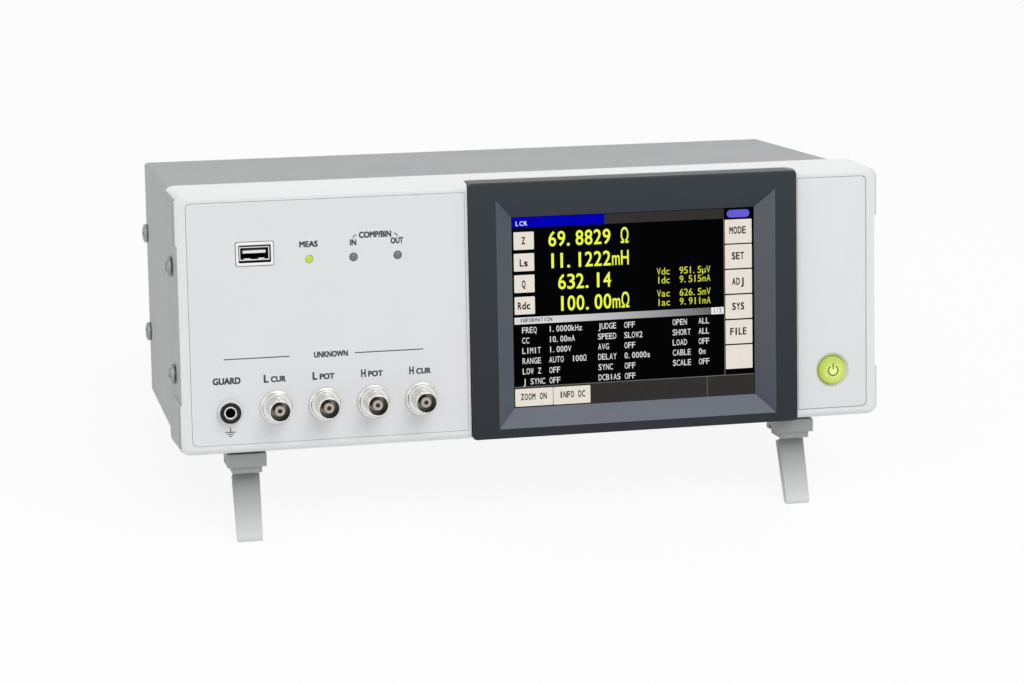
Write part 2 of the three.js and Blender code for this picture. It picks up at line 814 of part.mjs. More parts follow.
function makeInlet() {
  const back = fitGap + flangeThick;
  let inlet = flanged(inletWidth, inletHeight, inletDepth, inletRim);
  inlet = inlet.subtract(block(-inletMouthWidth / 2, inletMouthWidth / 2, back - inletMouthDepth,
    back + past, -inletMouthHeight / 2, inletMouthHeight / 2));
  const pins = [[-inletPinSpread, -1], [inletPinSpread, -1], [0, inletPinRise]];
  for (const [x, z] of pins) {
    inlet = inlet.add(block(x - inletPinWidth / 2, x + inletPinWidth / 2, back - inletMouthDepth - past,
      back - 2.5, z - inletPinHeight / 2, z + inletPinHeight / 2));
  }
  return inlet;
}

function makeMainsSwitch() {
  const halfWidth = mainsWidth / 2 - mainsWall;
  const halfHeight = mainsHeight / 2 - mainsWall;
  return flanged(mainsWidth, mainsHeight, mainsDepth, mainsRim)
    .subtract(block(-halfWidth, halfWidth, 4 - mainsDepth, fitGap + flangeThick + past, -halfHeight,
      halfHeight))
    .subtract(alongX(rockerPivotRadius + fitGap, mainsWidth - 0.4, rockerPivotY, 0, 10));
}

// The rocker turns about X through its own origin; its face is two flats that meet in a shallow vee.
const rockerPivotY = fitGap + flangeThick - 0.6 - rockerPivotDepth;

function makeRocker() {
  const half = mainsHeight / 2 - mainsWall - 1.2;
  const width = mainsWidth - 2 * mainsWall - 2 * slideGap;
  const vee = half * Math.tan(THREE.MathUtils.degToRad(rockerAngle));
  const outline = new THREE.Shape();
  outline.moveTo(-half, rockerPivotDepth - rockerThick);
  outline.lineTo(half, rockerPivotDepth - rockerThick);
  outline.lineTo(half, rockerPivotDepth + vee);
  outline.lineTo(0, rockerPivotDepth);
  outline.lineTo(-half, rockerPivotDepth + vee);
  outline.closePath();
  const geometry = new THREE.ExtrudeGeometry(outline, { depth: width, bevelEnabled: false });
  geometry.translate(0, 0, -width / 2);
  geometry.rotateY(Math.PI / 2);
  return solidOf(geometry).add(alongX(rockerPivotRadius, mainsWidth - 1.2, 0, 0, 10));
}

function makeIoConnector() {
  const shell = slab(roundedRect(-ioShellWidth / 2, ioShellWidth / 2, -ioShellHeight / 2,
    ioShellHeight / 2, 2.5), -sheet - fitGap - 1, ioProud);
  const plate = block(-ioWidth / 2, ioWidth / 2, -ioBody, -sheet - fitGap, -ioHeight / 2, ioHeight / 2);
  return shell.add(plate);
}

function makeDevicePort() {
  const halfWidth = deviceWidth / 2;
  const halfHeight = deviceHeight / 2;
  const shell = block(-halfWidth, halfWidth, 1 - deviceLength, 1, -halfHeight, halfHeight);
  const mouth = block(deviceWall - halfWidth, halfWidth - deviceWall, 3 - deviceLength, 1 + past,
    deviceWall - halfHeight, halfHeight - deviceWall);
  const tongue = block(-deviceTongue / 2, deviceTongue / 2, 2 - deviceLength, -0.5,
    -deviceTongueThick / 2, deviceTongueThick / 2);
  return shell.subtract(mouth).add(tongue);
}

function blankScrewPlaces() {
  const reach = (slotWidth + blankLapSide) / 2;
  return [slotX - reach, slotX + reach];
}

function makeBlankPlate() {
  const halfWidth = slotWidth / 2 + blankLapSide;
  const front = rearPanelBack + fitGap;
  let plate = slab(roundedRect(slotX - halfWidth, slotX + halfWidth, slotZ - slotHeight / 2 - blankLapUp,
    slotZ + slotHeight / 2 + blankLapUp, 1.5), front, front + blankThick, 2);
  for (const x of blankScrewPlaces()) {
    plate = plate.subtract(moved(peg(smallShankRadius + fitGap, front - past,
      front + blankThick + past, 10), x, 0, slotZ));
  }
  return plate;
}

// ---- fasteners: the head's underside is at the origin and the shank runs along -Y ----
function makeScrew(headRadius, headHeight, shankRadius, shankLength) {
  return turned([[0, -shankLength], [shankRadius, -shankLength], [shankRadius, 0], [headRadius, 0],
    [headRadius, headHeight * 0.35], [headRadius * 0.8, headHeight * 0.8],
    [headRadius * 0.5, headHeight], [0, headHeight]], 12);
}

function screwPlaces(y, left, right) {
  const places = [];
  for (const [hand, side, x] of [['left', -1, left], ['right', 1, right]]) {
    for (const [level, z] of Object.entries(screwHeights)) {
      places.push({ hand, level, side, x, y, z });
    }
  }
  return places;
}

function frontScrewPlaces() {
  return screwPlaces(frontScrewY, frameLeft + gripDepth, frameRight - gripDepth);
}

function rearScrewPlaces() {
  return screwPlaces(rearScrewY, coverLeft, coverRight);
}

function screwHole({ side, x, y, z }) {
  const length = screwShankLength + fitGap;
  return alongX(screwShankRadius + fitGap, 2 * length, y, z, 12).translate([x - side * (length - past), 0, 0]);
}

// ---- legs and feet ----
function makeLegPad() {
  const back = padFront + padLength;
  let pad = block(-padWidth / 2, padWidth / 2, padFront, back, -fitGap - padHeight, -fitGap);
  pad = pad.add(block(-stepWidth / 2, stepWidth / 2, padFront + stepInset, back - stepInset,
    footBottom, -fitGap - 0.5));
  const slotHalf = legNeckWidth / 2 + slideGap;
  const reach = legThick / 2 / Math.cos(legLean) + (hingeZ - footBottom) * Math.tan(legLean);
  const slotFront = hingeY - Math.max(knuckleRadius, reach) - slideGap;
  pad = pad.subtract(block(-slotHalf, slotHalf, slotFront, back + past, footBottom - past,
    hingeZ + knuckleRadius + slideGap));
  return pad.subtract(alongX(pinRadius + fitGap, padWidth + 2 * past, hingeY, hingeZ));
}

function alongX(radius, length, y, z, segments = 12) {
  const geometry = new THREE.CylinderGeometry(radius, radius, length, segments);
  geometry.rotateZ(Math.PI / 2);
  geometry.translate(0, y, z);
  return solidOf(geometry);
}

// The leg hangs from its hinge at the origin, straight down; the group that holds it leans it forward.
function makeLeg() {
  const half = legThick / 2;
  const side = new THREE.Shape();
  side.moveTo(half, -legLength);
  side.lineTo(half, 0);
  side.lineTo(-half, 0);
  side.lineTo(-half, -legLength);
  side.absarc(0, -legLength, half, Math.PI, 2 * Math.PI);
  const plate = new THREE.ExtrudeGeometry(side, {
    depth: legTopWidth,
    bevelEnabled: false,
    curveSegments: 4,
  });
  plate.rotateX(Math.PI / 2);
  plate.rotateZ(Math.PI / 2);
  plate.translate(-legTopWidth / 2, 0, 0);
  const front = new THREE.Shape();
  front.moveTo(-legTipWidth / 2, -legLength - legThick);
  front.lineTo(legTipWidth / 2, -legLength - legThick);
  front.lineTo(legTopWidth / 2, -legNeckLength);
  front.lineTo(legNeckWidth / 2, -legNeckLength);
  front.lineTo(legNeckWidth / 2, past);
  front.lineTo(-legNeckWidth / 2, past);
  front.lineTo(-legNeckWidth / 2, -legNeckLength);
  front.lineTo(-legTopWidth / 2, -legNeckLength);
  front.closePath();
  let leg = solidOf(plate).intersect(slab(front, -legThick, legThick));
  leg = leg.add(alongX(knuckleRadius, legNeckWidth, 0, 0, 16));
  leg = leg.subtract(alongX(pinRadius + fitGap, padWidth, 0, 0));
  const ground = block(-legTopWidth, legTopWidth, -2 * legThick, 2 * legThick, -2 * legThick, -soleDrop);
  const level = THREE.MathUtils.radToDeg(tilt + legLean);
  return leg.subtract(ground.rotate([level, 0, 0]).translate([0, 0, -legLength]));
}

function makeRearFoot() {
  const height = trayBottom - fitGap - footBottom;
  const geometry = new THREE.CylinderGeometry(rearFootRadius, rearFootRadius - rearFootTaper, height, 20);
  geometry.rotateX(Math.PI / 2);
  geometry.translate(0, 0, footBottom + height / 2);
  return solidOf(geometry);
}

// ---- finishes ----
function finish(color, roughness, metalness = 0) {
  return { color, roughness, metalness };
}

const frameResin = finish(0xe6e7e8, 0.45);
const panelFilm = finish(0xdcdcde, 0.5);
const bezelResin = finish(0x3f4652, 0.4);
const coverPaint = finish(0xa9abac, 0.55, 0.1);
const steel = finish(0xb9bcc0, 0.4, 0.8);
const nickel = finish(0xd2d0c8, 0.25, 0.9);
const blackResin = finish(0x1b1c1e, 0.5);
const whiteResin = finish(0xe8e6e0, 0.5);
const darkGlass = finish(0x0c0f18, 0.15);
const limeResin = finish(0xc3d94e, 0.3);
const greyLens = finish(0x6f7174, 0.3);
const legResin = finish(0xa4a5a4, 0.5);
const boardLaminate = finish(0x1f5a3a, 0.6);
const rubber = finish(0x2a2b2d, 0.8);
const alloy = finish(0xc4c6c8, 0.5, 0.7);

// ---- assembly ----
const tilted = new THREE.Group();
const instrument = new THREE.Group();
tilted.add(instrument);

function place(name, solid, look, x = 0, y = 0, z = 0, holder = instrument) {
  const mesh = new THREE.Mesh(geometryOf(solid), new THREE.MeshStandardMaterial(look));
  mesh.name = name;
  mesh.position.set(x, y, z);
  holder.add(mesh);
  return mesh;
}

place('front_frame', makeFrontFrame(), frameResin);
place('left_panel', makePanel(leftPanelLeft, leftPanelRight), panelFilm);
place('right_panel', makePanel(rightPanelLeft, rightPanelRight), panelFilm);
place('display_bezel', makeBezel(), bezelResin);
place('touch_panel', makeTouchPanel(), darkGlass);
place('lcd_module', makeLcdModule(), blackResin);
place('lcd_bracket', makeLcdBracket(), steel);
place('display_board', makeBoard(displayBoard, displayBoardFront), boardLaminate);
place('jack_board', makeJackBoard(), boardLaminate);
place('button_board', makeBoard(buttonBoard, buttonBoardFront), boardLaminate);

place('usb_insert', makeUsbInsert(), whiteResin, usbX, 0, usbZ);
place('usb_shell', makeUsbShell(), nickel, usbX, 0, usbZ);
place('usb_tongue', makeUsbTongue(), whiteResin, usbX, 0, usbZ);
for (const { name, x } of ledPlaces) {
  place(`led_${name}`, makeLed(), name === 'meas' ? limeResin : greyLens, x, 0, ledZ);
}
for (const jack of jackPlaces) {
  place(`jack_shell_${jack.name}`, makeJack(), nickel, jack.x, 0, jackZ);
  place(`jack_core_${jack.name}`, makeJackCore(), whiteResin, jack.x, 0, jackZ);
}
place('guard_socket', makeGuardSocket(), blackResin, guardX, 0, guardZ);
place('guard_sleeve', makeGuardSleeve(), nickel, guardX, 0, guardZ);
place('power_button', makePowerButton(), limeResin, buttonX, 0, buttonZ);
place('button_switch', makeButtonSwitch(), blackResin, buttonX, 0, buttonZ);

place('top_cover', makeTopCover(), coverPaint);
place('chassis_tray', makeTray(), steel);
place('rear_panel', makeRearPanel(), coverPaint);
place('main_board', makeMainBoard(), boardLaminate);
place('analog_shield', makeShield(), steel);
place('power_supply', makeSupply(), alloy);

place('mains_inlet', makeInlet(), blackResin, inletX, rearPanelBack, lowerRowZ);
place('mains_switch', makeMainsSwitch(), blackResin, mainsX, rearPanelBack, lowerRowZ);
place('io_connector', makeIoConnector(), nickel, ioX, rearPanelBack, lowerRowZ);
place('device_port', makeDevicePort(), nickel, deviceX, rearPanelBack, lowerRowZ);
place('blank_plate', makeBlankPlate(), coverPaint);

const rocker = place('mains_rocker', makeRocker(), blackResin, mainsX, rearPanelBack + rockerPivotY,
  lowerRowZ);
rocker.rotation.x = THREE.MathUtils.degToRad(-rockerAngle);

const smallScrewSeat = rearPanelBack + 2 * fitGap + blankThick;
blankScrewPlaces().forEach((x, index) => {
  const screw = makeScrew(smallScrewRadius, smallScrewHead, smallShankRadius, smallShankLength);
  place(`blank_screw_${index === 0 ? 'left' : 'right'}`, screw, steel, x, smallScrewSeat, slotZ);
});

for (const [where, list] of Object.entries({ front: frontScrewPlaces(), rear: rearScrewPlaces() })) {
  for (const { hand, level, side, x, y, z } of list) {
    const screw = makeScrew(screwHeadRadius, screwHeadHeight, screwShankRadius, screwShankLength);
    const mesh = place(`cover_screw_${hand}_${where}_${level}`, screw, steel, x + side * fitGap, y, z);
    mesh.rotation.z = -side * Math.PI / 2;
  }
}

for (const [hand, side, edge] of [['left', -1, trayLeft], ['right', 1, trayRight]]) {
  const x = edge - side * legInset;
  place(`leg_pad_${hand}`, makeLegPad(), legResin, x, 0, 0);
  place(`leg_pin_${hand}`, alongX(pinRadius, pinLength, hingeY, hingeZ), steel, x, 0, 0);
  const hinge = new THREE.Group();
  hinge.position.set(x, hingeY, hingeZ);
  hinge.rotation.x = -legLean;
  instrument.add(hinge);
  place(`leg_${hand}`, makeLeg(), legResin, 0, 0, 0, hinge);
  place(`rear_foot_${hand}`, makeRearFoot(), rubber, edge - side * rearFootInset, rearFootY, 0);
}

// ---- lean back onto the legs, with the bounding box's middle over the origin ----
instrument.rotation.x = -tilt;
tilted.updateMatrixWorld(true);
const box = new THREE.Box3().setFromObject(tilted, true);
instrument.position.set(-(box.min.x + box.max.x) / 2, -(box.min.y + box.max.y) / 2, -box.min.z);

export default tilted;
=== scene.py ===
"""Bench LCR meter: finished pieces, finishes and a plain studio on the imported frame.

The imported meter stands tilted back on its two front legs. Each piece is modelled level, in
millimetres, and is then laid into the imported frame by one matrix. In the level frame x runs right
from the middle of the front frame, y runs back from its face and z runs up from its lower edge.
"""

import json
import logging
import math
from collections.abc import Callable, Iterator, Sequence
from contextlib import contextmanager
from dataclasses import dataclass, field
from enum import Enum

import bmesh
import bpy
from bpy.types import Material, Mesh, NodeSocket, NodeTree, Object, ShaderNode
from mathutils import Matrix, Vector

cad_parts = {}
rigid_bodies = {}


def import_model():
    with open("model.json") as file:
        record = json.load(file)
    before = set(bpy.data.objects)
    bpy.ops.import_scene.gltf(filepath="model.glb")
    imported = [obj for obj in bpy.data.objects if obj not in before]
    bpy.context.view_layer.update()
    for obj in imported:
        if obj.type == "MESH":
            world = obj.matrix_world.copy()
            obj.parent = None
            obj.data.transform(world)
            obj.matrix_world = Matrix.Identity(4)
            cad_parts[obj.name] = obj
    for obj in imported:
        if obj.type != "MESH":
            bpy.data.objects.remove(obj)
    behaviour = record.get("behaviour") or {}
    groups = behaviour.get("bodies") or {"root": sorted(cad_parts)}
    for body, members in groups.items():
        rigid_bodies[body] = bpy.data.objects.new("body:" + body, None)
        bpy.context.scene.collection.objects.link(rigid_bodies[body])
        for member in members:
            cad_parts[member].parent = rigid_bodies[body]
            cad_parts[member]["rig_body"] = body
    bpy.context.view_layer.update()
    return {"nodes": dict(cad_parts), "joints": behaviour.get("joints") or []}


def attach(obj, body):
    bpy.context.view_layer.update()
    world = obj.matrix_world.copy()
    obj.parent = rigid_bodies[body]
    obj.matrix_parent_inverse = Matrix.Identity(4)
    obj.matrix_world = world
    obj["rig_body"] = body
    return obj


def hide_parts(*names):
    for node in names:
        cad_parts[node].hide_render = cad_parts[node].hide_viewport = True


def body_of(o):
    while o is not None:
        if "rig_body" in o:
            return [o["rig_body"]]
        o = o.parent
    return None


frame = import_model()

log = logging.getLogger("lcr_meter")

Rgb = tuple[float, float, float]
Pair = tuple[float, float]
Triple = tuple[float, float, float]
PlaceTest = Callable[[Vector, Vector], bool]

MM = 0.001
CAP_HEIGHT = 0.69
CLOSE = 0.02
FACING = 0.9  # least share of a normal along an axis for a face that looks that way
# Segments round a turned piece, from the narrow ones to the wide.
SMALL_TURN, MIDDLE_TURN, WIDE_TURN, FULL_TURN = 40, 48, 64, 80


# ---- bench tools ----
class Element(Enum):
    """What edit mode selects."""

    EDGE = "EDGE"
    FACE = "FACE"


def deselect() -> None:
    """Leaves nothing selected and nothing active."""
    bpy.ops.object.select_all(action="DESELECT")
    bpy.context.view_layer.objects.active = None


def take(piece: Object) -> None:
    """Makes one piece the only selected and active one."""
    deselect()
    piece.select_set(True)
    bpy.context.view_layer.objects.active = piece


@contextmanager
def shaping(piece: Object, element: Element = Element.FACE) -> Iterator[None]:
    """Opens a piece in edit mode with nothing selected, and closes it afterwards.

    Args:
        piece: The mesh to shape.
        element: Whether edges or faces are going to be picked.
    """
    take(piece)
    bpy.ops.object.mode_set(mode="EDIT")
    bpy.ops.mesh.select_mode(type=element.value)
    bpy.ops.mesh.select_all(action="DESELECT")
    yield
    bpy.ops.object.mode_set(mode="OBJECT")


def pick_faces(test: PlaceTest) -> int:
    """Selects faces of the open piece by their place.

    Args:
        test: Takes a face's middle and normal, and says whether it is wanted.

    Returns:
        How many faces are selected.
    """
    bpy.ops.mesh.select_all(action="DESELECT")
    data = bpy.context.object.data
    mesh = bmesh.from_edit_mesh(data)
    found = [face for face in mesh.faces if test(face.calc_center_median(), face.normal)]
    for face in found:
        face.select_set(True)
    bmesh.update_edit_mesh(data)
    return len(found)


def pick_edges(test: PlaceTest) -> int:
    """Selects edges of the open piece by their place.

    Args:
        test: Takes an edge's two ends, and says whether it is wanted.

    Returns:
        How many edges are selected.
    """
    bpy.ops.mesh.select_all(action="DESELECT")
    data = bpy.context.object.data
    mesh = bmesh.from_edit_mesh(data)
    found = [edge for edge in mesh.edges if test(edge.verts[0].co, edge.verts[1].co)]
    for edge in found:
        edge.select_set(True)
    bmesh.update_edit_mesh(data)
    return len(found)


def block(name: str, low: Sequence[float], high: Sequence[float]) -> Object:
    """Adds a box between two corners.

    Args:
        name: The piece's name.
        low: Its lowest corner, in level millimetres.
        high: Its highest corner.

    Returns:
        The new piece, with its place in its mesh.
    """
    deselect()
    low_corner, high_corner = Vector(low), Vector(high)
    bpy.ops.mesh.primitive_cube_add(
        size=1, location=(low_corner + high_corner) / 2, scale=high_corner - low_corner
    )
    piece = bpy.context.object
    piece.name = name
    bpy.ops.object.transform_apply(location=True, rotation=True, scale=True)
    return piece


def rounded_block(
    name: str, low: Sequence[float], high: Sequence[float], radius: float, segments: int = 6
) -> Object:
    """Adds a box whose four edges that run front to back are rounded.

    Args:
        name: The piece's name.
        low: Its lowest corner.
        high: Its highest corner.
        radius: The corner radius.
        segments: Steps round each corner.

    Returns:
        The new piece.
    """
    piece = block(name, low, high)
    with shaping(piece, Element.EDGE):
        pick_edges(lambda a, b: abs(a.y - b.y) > CLOSE)
        bpy.ops.mesh.bevel(offset=radius, segments=segments, affect="EDGES")
    return piece


def turned(
    name: str, middle: Pair, stations: Sequence[Pair], segments: int = 56
) -> Object:
    """Turns a round piece about a line that runs front to back.

    Args:
        name: The piece's name.
        middle: X and z of its axis.
        stations: Radius and y of each ring in order, first and last closed by a flat cap.
        segments: Steps round the axis.

    Returns:
        The new closed piece.
    """
    deselect()
    x, z = middle
    radius, place = stations[0]
    bpy.ops.mesh.primitive_circle_add(
        vertices=segments,
        radius=radius,
        fill_type="NGON",
        location=(x, place, z),
        rotation=(math.pi / 2, 0, 0),
    )
    piece = bpy.context.object
    piece.name = name
    bpy.ops.object.transform_apply(location=True, rotation=True, scale=True)
    with shaping(piece):
        bpy.ops.mesh.select_all(action="SELECT")
        for next_radius, next_place in stations[1:]:
            bpy.ops.mesh.extrude_region_move(
                TRANSFORM_OT_translate={"value": (0, next_place - place, 0)}
            )
            share = next_radius / radius
            bpy.ops.transform.resize(
                value=(share, 1, share), center_override=(x, next_place, z)
            )
            radius, place = next_radius, next_place
        bpy.ops.mesh.select_all(action="SELECT")
        bpy.ops.mesh.normals_make_consistent(inside=False)
    return piece


def side_peg(name: str, place: Triple, radius: float, length: float) -> Object:
    """Adds a round bar that runs across, for cutting a side hole."""
    deselect()
    bpy.ops.mesh.primitive_cylinder_add(
        vertices=24, radius=radius, depth=length, location=place, rotation=(0, math.pi / 2, 0)
    )
    piece = bpy.context.object
    piece.name = name
    bpy.ops.object.transform_apply(location=True, rotation=True, scale=True)
    return piece


def cut(piece: Object, cutters: Sequence[Object]) -> None:
    """Takes the shapes of some cutters out of a piece, and clears the cutters away."""
    for cutter in cutters:
        take(piece)
        change = piece.modifiers.new("cut", "BOOLEAN")
        change.operation = "DIFFERENCE"
        change.solver = "EXACT"
        change.object = cutter
        bpy.ops.object.modifier_apply(modifier=change.name)
        bpy.data.objects.remove(cutter, do_unlink=True)


def keep(piece: Object, envelope: Object) -> None:
    """Keeps only what lies inside an envelope, and clears the envelope away."""
    take(piece)
    change = piece.modifiers.new("keep", "BOOLEAN")
    change.operation = "INTERSECT"
    change.solver = "EXACT"
    change.object = envelope
    bpy.ops.object.modifier_apply(modifier=change.name)
    bpy.data.objects.remove(envelope, do_unlink=True)


def round_edges(piece: Object, width: float, segments: int = 2, angle: float = 32) -> None:
    """Rounds the sharp edges of a piece a little.

    Args:
        piece: The piece to finish.
        width: Width of the rounding, in the units the mesh has now.
        segments: Steps across the rounding.
        angle: Edges sharper than this many degrees are rounded.
    """
    take(piece)
    edge = piece.modifiers.new("edge", "BEVEL")
    edge.width = width
    edge.segments = segments
    edge.limit_method = "ANGLE"
    edge.angle_limit = math.radians(angle)
    bpy.ops.object.modifier_apply(modifier=edge.name)


def soften(piece: Object, width: float, segments: int = 2, angle: float = 32) -> None:
    """Rounds the sharp edges of a piece a little and shades it evenly."""
    round_edges(piece, width, segments, angle)
    even_shade(piece)


def crisp_shade(piece: Object, angle: float) -> None:
    """Shades a piece smooth across edges flatter than an angle in degrees."""
    take(piece)
    bpy.ops.object.shade_smooth_by_angle(angle=math.radians(angle))


def even_shade(piece: Object) -> None:
    """Shades a piece smooth, with its broad faces kept flat."""
    take(piece)
    bpy.ops.object.shade_smooth()
    even = piece.modifiers.new("even", "WEIGHTED_NORMAL")
    even.weight = 80
    bpy.ops.object.modifier_apply(modifier=even.name)


def joined(name: str, parts: Sequence[Object]) -> Object:
    """Joins several parts into one piece of the first one's finish.

    Args:
        name: The joined piece's name.
        parts: The parts, at least one.

    Returns:
        The joined piece.
    """
    deselect()
    for part in parts:
        part.select_set(True)
    bpy.context.view_layer.objects.active = parts[0]
    if len(parts) > 1:
        bpy.ops.object.join()
    parts[0].name = name
    return parts[0]


def copied(piece: Object, name: str, move: Matrix) -> Object:
    """Copies a piece with a mesh of its own.

    Args:
        piece: The piece to copy.
        name: The copy's name.
        move: Where the copy goes, from where the piece is.

    Returns:
        The copy.
    """
    twin = piece.copy()
    twin.data = piece.data.copy()
    twin.data.transform(move)
    twin.name = name
    bpy.context.scene.collection.objects.link(twin)
    return twin


# ---- the level frame ----
class Stance:
    """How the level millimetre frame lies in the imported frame."""

    def __init__(self) -> None:
        """Reads the tilt from the power button's joint and the origin from the front frame."""
        press = next(j for j in frame["joints"] if j["name"] == "power_press")
        back = Vector(press["axis"]).normalized()
        across = Vector((1, 0, 0))
        turn = Matrix((across, back, across.cross(back))).transposed()
        points = [turn.transposed() @ v.co for v in frame["nodes"]["front_frame"].data.vertices]
        low = Vector([min(p[i] for p in points) for i in range(3)])
        high = Vector([max(p[i] for p in points) for i in range(3)])
        origin = turn @ Vector(((low.x + high.x) / 2, low.y, low.z))
        self.turn = turn
        self.matrix = Matrix.Translation(origin) @ turn.to_4x4() @ Matrix.Scale(MM, 4)
        self._boxes: dict[str, tuple[Vector, Vector]] = {}

    def box(self, node: str) -> tuple[Vector, Vector]:
        """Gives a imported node's box in the level frame.

        Args:
            node: The node's name.

        Returns:
            Its lowest and its highest corner, in millimetres.
        """
        if node not in self._boxes:
            back = self.matrix.inverted()
            points = [back @ v.co for v in frame["nodes"][node].data.vertices]
            low = Vector([min(p[i] for p in points) for i in range(3)])
            high = Vector([max(p[i] for p in points) for i in range(3)])
            self._boxes[node] = (low, high)
        return self._boxes[node]

    def middle(self, node: str) -> Pair:
        """Gives x and z of the middle of a node's box."""
        low, high = self.box(node)
        return ((low.x + high.x) / 2, (low.z + high.z) / 2)


# ---- finishes ----
class Grain(Enum):
    """How a surface's fine relief runs: the stretch of its noise along x, y and z."""

    MOULDED = (1.0, 1.0, 1.0)
    BRUSHED = (0.05, 1.0, 1.0)
    ROLLED = (1.0, 0.05, 1.0)
    WOVEN = (1.0, 1.0, 0.2)


def linear(colour: Rgb) -> tuple[float, float, float, float]:
    """Turns a 0 to 255 display colour into the linear one that shaders take."""
    shares = [c / 255 for c in colour]
    light = [s / 12.92 if s <= 0.04045 else ((s + 0.055) / 1.055) ** 2.4 for s in shares]
    return (light[0], light[1], light[2], 1.0)


class Graph:
    """A material's node tree, with its principled shader and output in place."""

    def __init__(self, name: str) -> None:
        """Starts an empty material of that name."""
        self.material = bpy.data.materials.new(name)
        self.material.use_nodes = True
        self.tree = self.material.node_tree
        self.tree.nodes.clear()
        self.shader = self.add("ShaderNodeBsdfPrincipled")
        output = self.add("ShaderNodeOutputMaterial")
        self.link(self.shader.outputs["BSDF"], output.inputs["Surface"])
        self.place = self.add("ShaderNodeTexCoord").outputs["Object"]

    def add(self, kind: str, **values: object) -> ShaderNode:
        """Adds a node and sets its unlinked sockets.

        Args:
            kind: The node's type name.
            **values: Socket values by socket name, with underscores for spaces.

        Returns:
            The new node.
        """
        node = self.tree.nodes.new(kind)
        for name, value in values.items():
            node.inputs[name.replace("_", " ")].default_value = value
        return node

    def link(self, source: NodeSocket, target: NodeSocket) -> None:
        """Links an output to an input."""
        self.tree.links.new(source, target)

    def noise(self, size: float, stretch: Triple = (1, 1, 1), detail: float = 3) -> NodeSocket:
        """Adds a noise on Object coordinates.

        Args:
            size: Size of its patches in millimetres.
            stretch: How far each axis is squeezed, 1 for an even noise.
            detail: How many finer octaves it holds.

        Returns:
            The noise's value socket.
        """
        squeeze = self.add("ShaderNodeMapping", Scale=stretch)
        self.link(self.place, squeeze.inputs["Vector"])
        noise = self.add("ShaderNodeTexNoise", Scale=1 / (size * MM), Detail=detail)
        self.link(squeeze.outputs["Vector"], noise.inputs["Vector"])
        return noise.outputs["Fac"]

    def ramp(self, source: NodeSocket, stops: Sequence[tuple[float, tuple]]) -> NodeSocket:
        """Adds a colour ramp.

        Args:
            source: The value it reads.
            stops: Position and linear colour of each stop.

        Returns:
            The ramp's colour socket.
        """
        ramp = self.add("ShaderNodeValToRGB")
        points = ramp.color_ramp.elements
        while len(points) < len(stops):
            points.new(0.5)
        for point, (position, colour) in zip(points, stops):
            point.position = position
            point.color = colour
        self.link(source, ramp.inputs["Fac"])
        return ramp.outputs["Color"]

    def spread(self, source: NodeSocket, low: float, high: float) -> NodeSocket:
        """Spreads a 0 to 1 value between two others."""
        spread = self.add("ShaderNodeMapRange", To_Min=low, To_Max=high)
        self.link(source, spread.inputs["Value"])
        return spread.outputs["Result"]

    def along(self, direction: Vector, start: float, end: float) -> NodeSocket:
        """Measures how far a point lies along a direction.

        Args:
            direction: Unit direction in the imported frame.
            start: Distance, in metres, that gives 0.
            end: Distance that gives 1.

        Returns:
            The clamped 0 to 1 socket.
        """
        dot = self.tree.nodes.new("ShaderNodeVectorMath")
        dot.operation = "DOT_PRODUCT"
        dot.inputs[1].default_value = direction
        self.link(self.place, dot.inputs[0])
        share = self.add("ShaderNodeMapRange", From_Min=start, From_Max=end)
        self.link(dot.outputs["Value"], share.inputs["Value"])
        return share.outputs["Result"]

    def around(self, point: Vector, radius: float) -> NodeSocket:
        """Measures the distance from a point, 0 at the point and 1 at a radius in metres."""
        reach = self.tree.nodes.new("ShaderNodeVectorMath")
        reach.operation = "DISTANCE"
        reach.inputs[1].default_value = point
        self.link(self.place, reach.inputs[0])
        share = self.add("ShaderNodeMapRange", From_Min=0.0, From_Max=radius)
        self.link(reach.outputs["Value"], share.inputs["Value"])
        return share.outputs["Result"]


@dataclass(frozen=True)
class Finish:
    """One surface finish, with its colour, gloss and fine relief."""

    name: str
    colour: Rgb
    roughness: float = 0.5
    metallic: float = 0.0
    specular: float = 0.5
    cloud: float = 0.03
    cloud_size: float = 30.0
    grain: Grain = Grain.MOULDED
    grain_size: float = 0.6
    grain_height: float = 0.012
    coat: float = 0.0

    def tint(self, graph: Graph) -> NodeSocket:
        """Adds the colour's nodes: the colour wanders a little over the surface.

        Args:
            graph: The material's nodes.

        Returns:
            The colour socket.
        """
        red, green, blue, _ = linear(self.colour)
        shades = [
            (p, (min(1, red * s), min(1, green * s), min(1, blue * s), 1))
            for p, s in ((0.3, 1 - self.cloud), (0.7, 1 + self.cloud))
        ]
        return graph.ramp(graph.noise(self.cloud_size), shades)

    def dress(self, graph: Graph) -> None:
        """Links colour, roughness and relief to the shader."""
        sockets = graph.shader.inputs
        graph.link(self.tint(graph), sockets["Base Color"])
        worn = graph.noise(self.cloud_size / 4, self.grain.value)
        graph.link(
            graph.spread(worn, max(0.02, self.roughness - 0.06), self.roughness + 0.06),
            sockets["Roughness"],
        )
        relief = graph.add("ShaderNodeBump", Strength=1.0, Distance=self.grain_height * MM)
        graph.link(graph.noise(self.grain_size, self.grain.value, 2), relief.inputs["Height"])
        graph.link(relief.outputs["Normal"], sockets["Normal"])

    def material(self) -> Material:
        """Gives the finish's material, made the first time that it is asked for.

        Returns:
            The material.
        """
        known = bpy.data.materials.get(self.name)
        if known is not None:
            return known
        graph = Graph(self.name)
        sockets = graph.shader.inputs
        sockets["Metallic"].default_value = self.metallic
        sockets["Specular IOR Level"].default_value = self.specular
        sockets["Coat Weight"].default_value = self.coat
        self.dress(graph)
        return graph.material


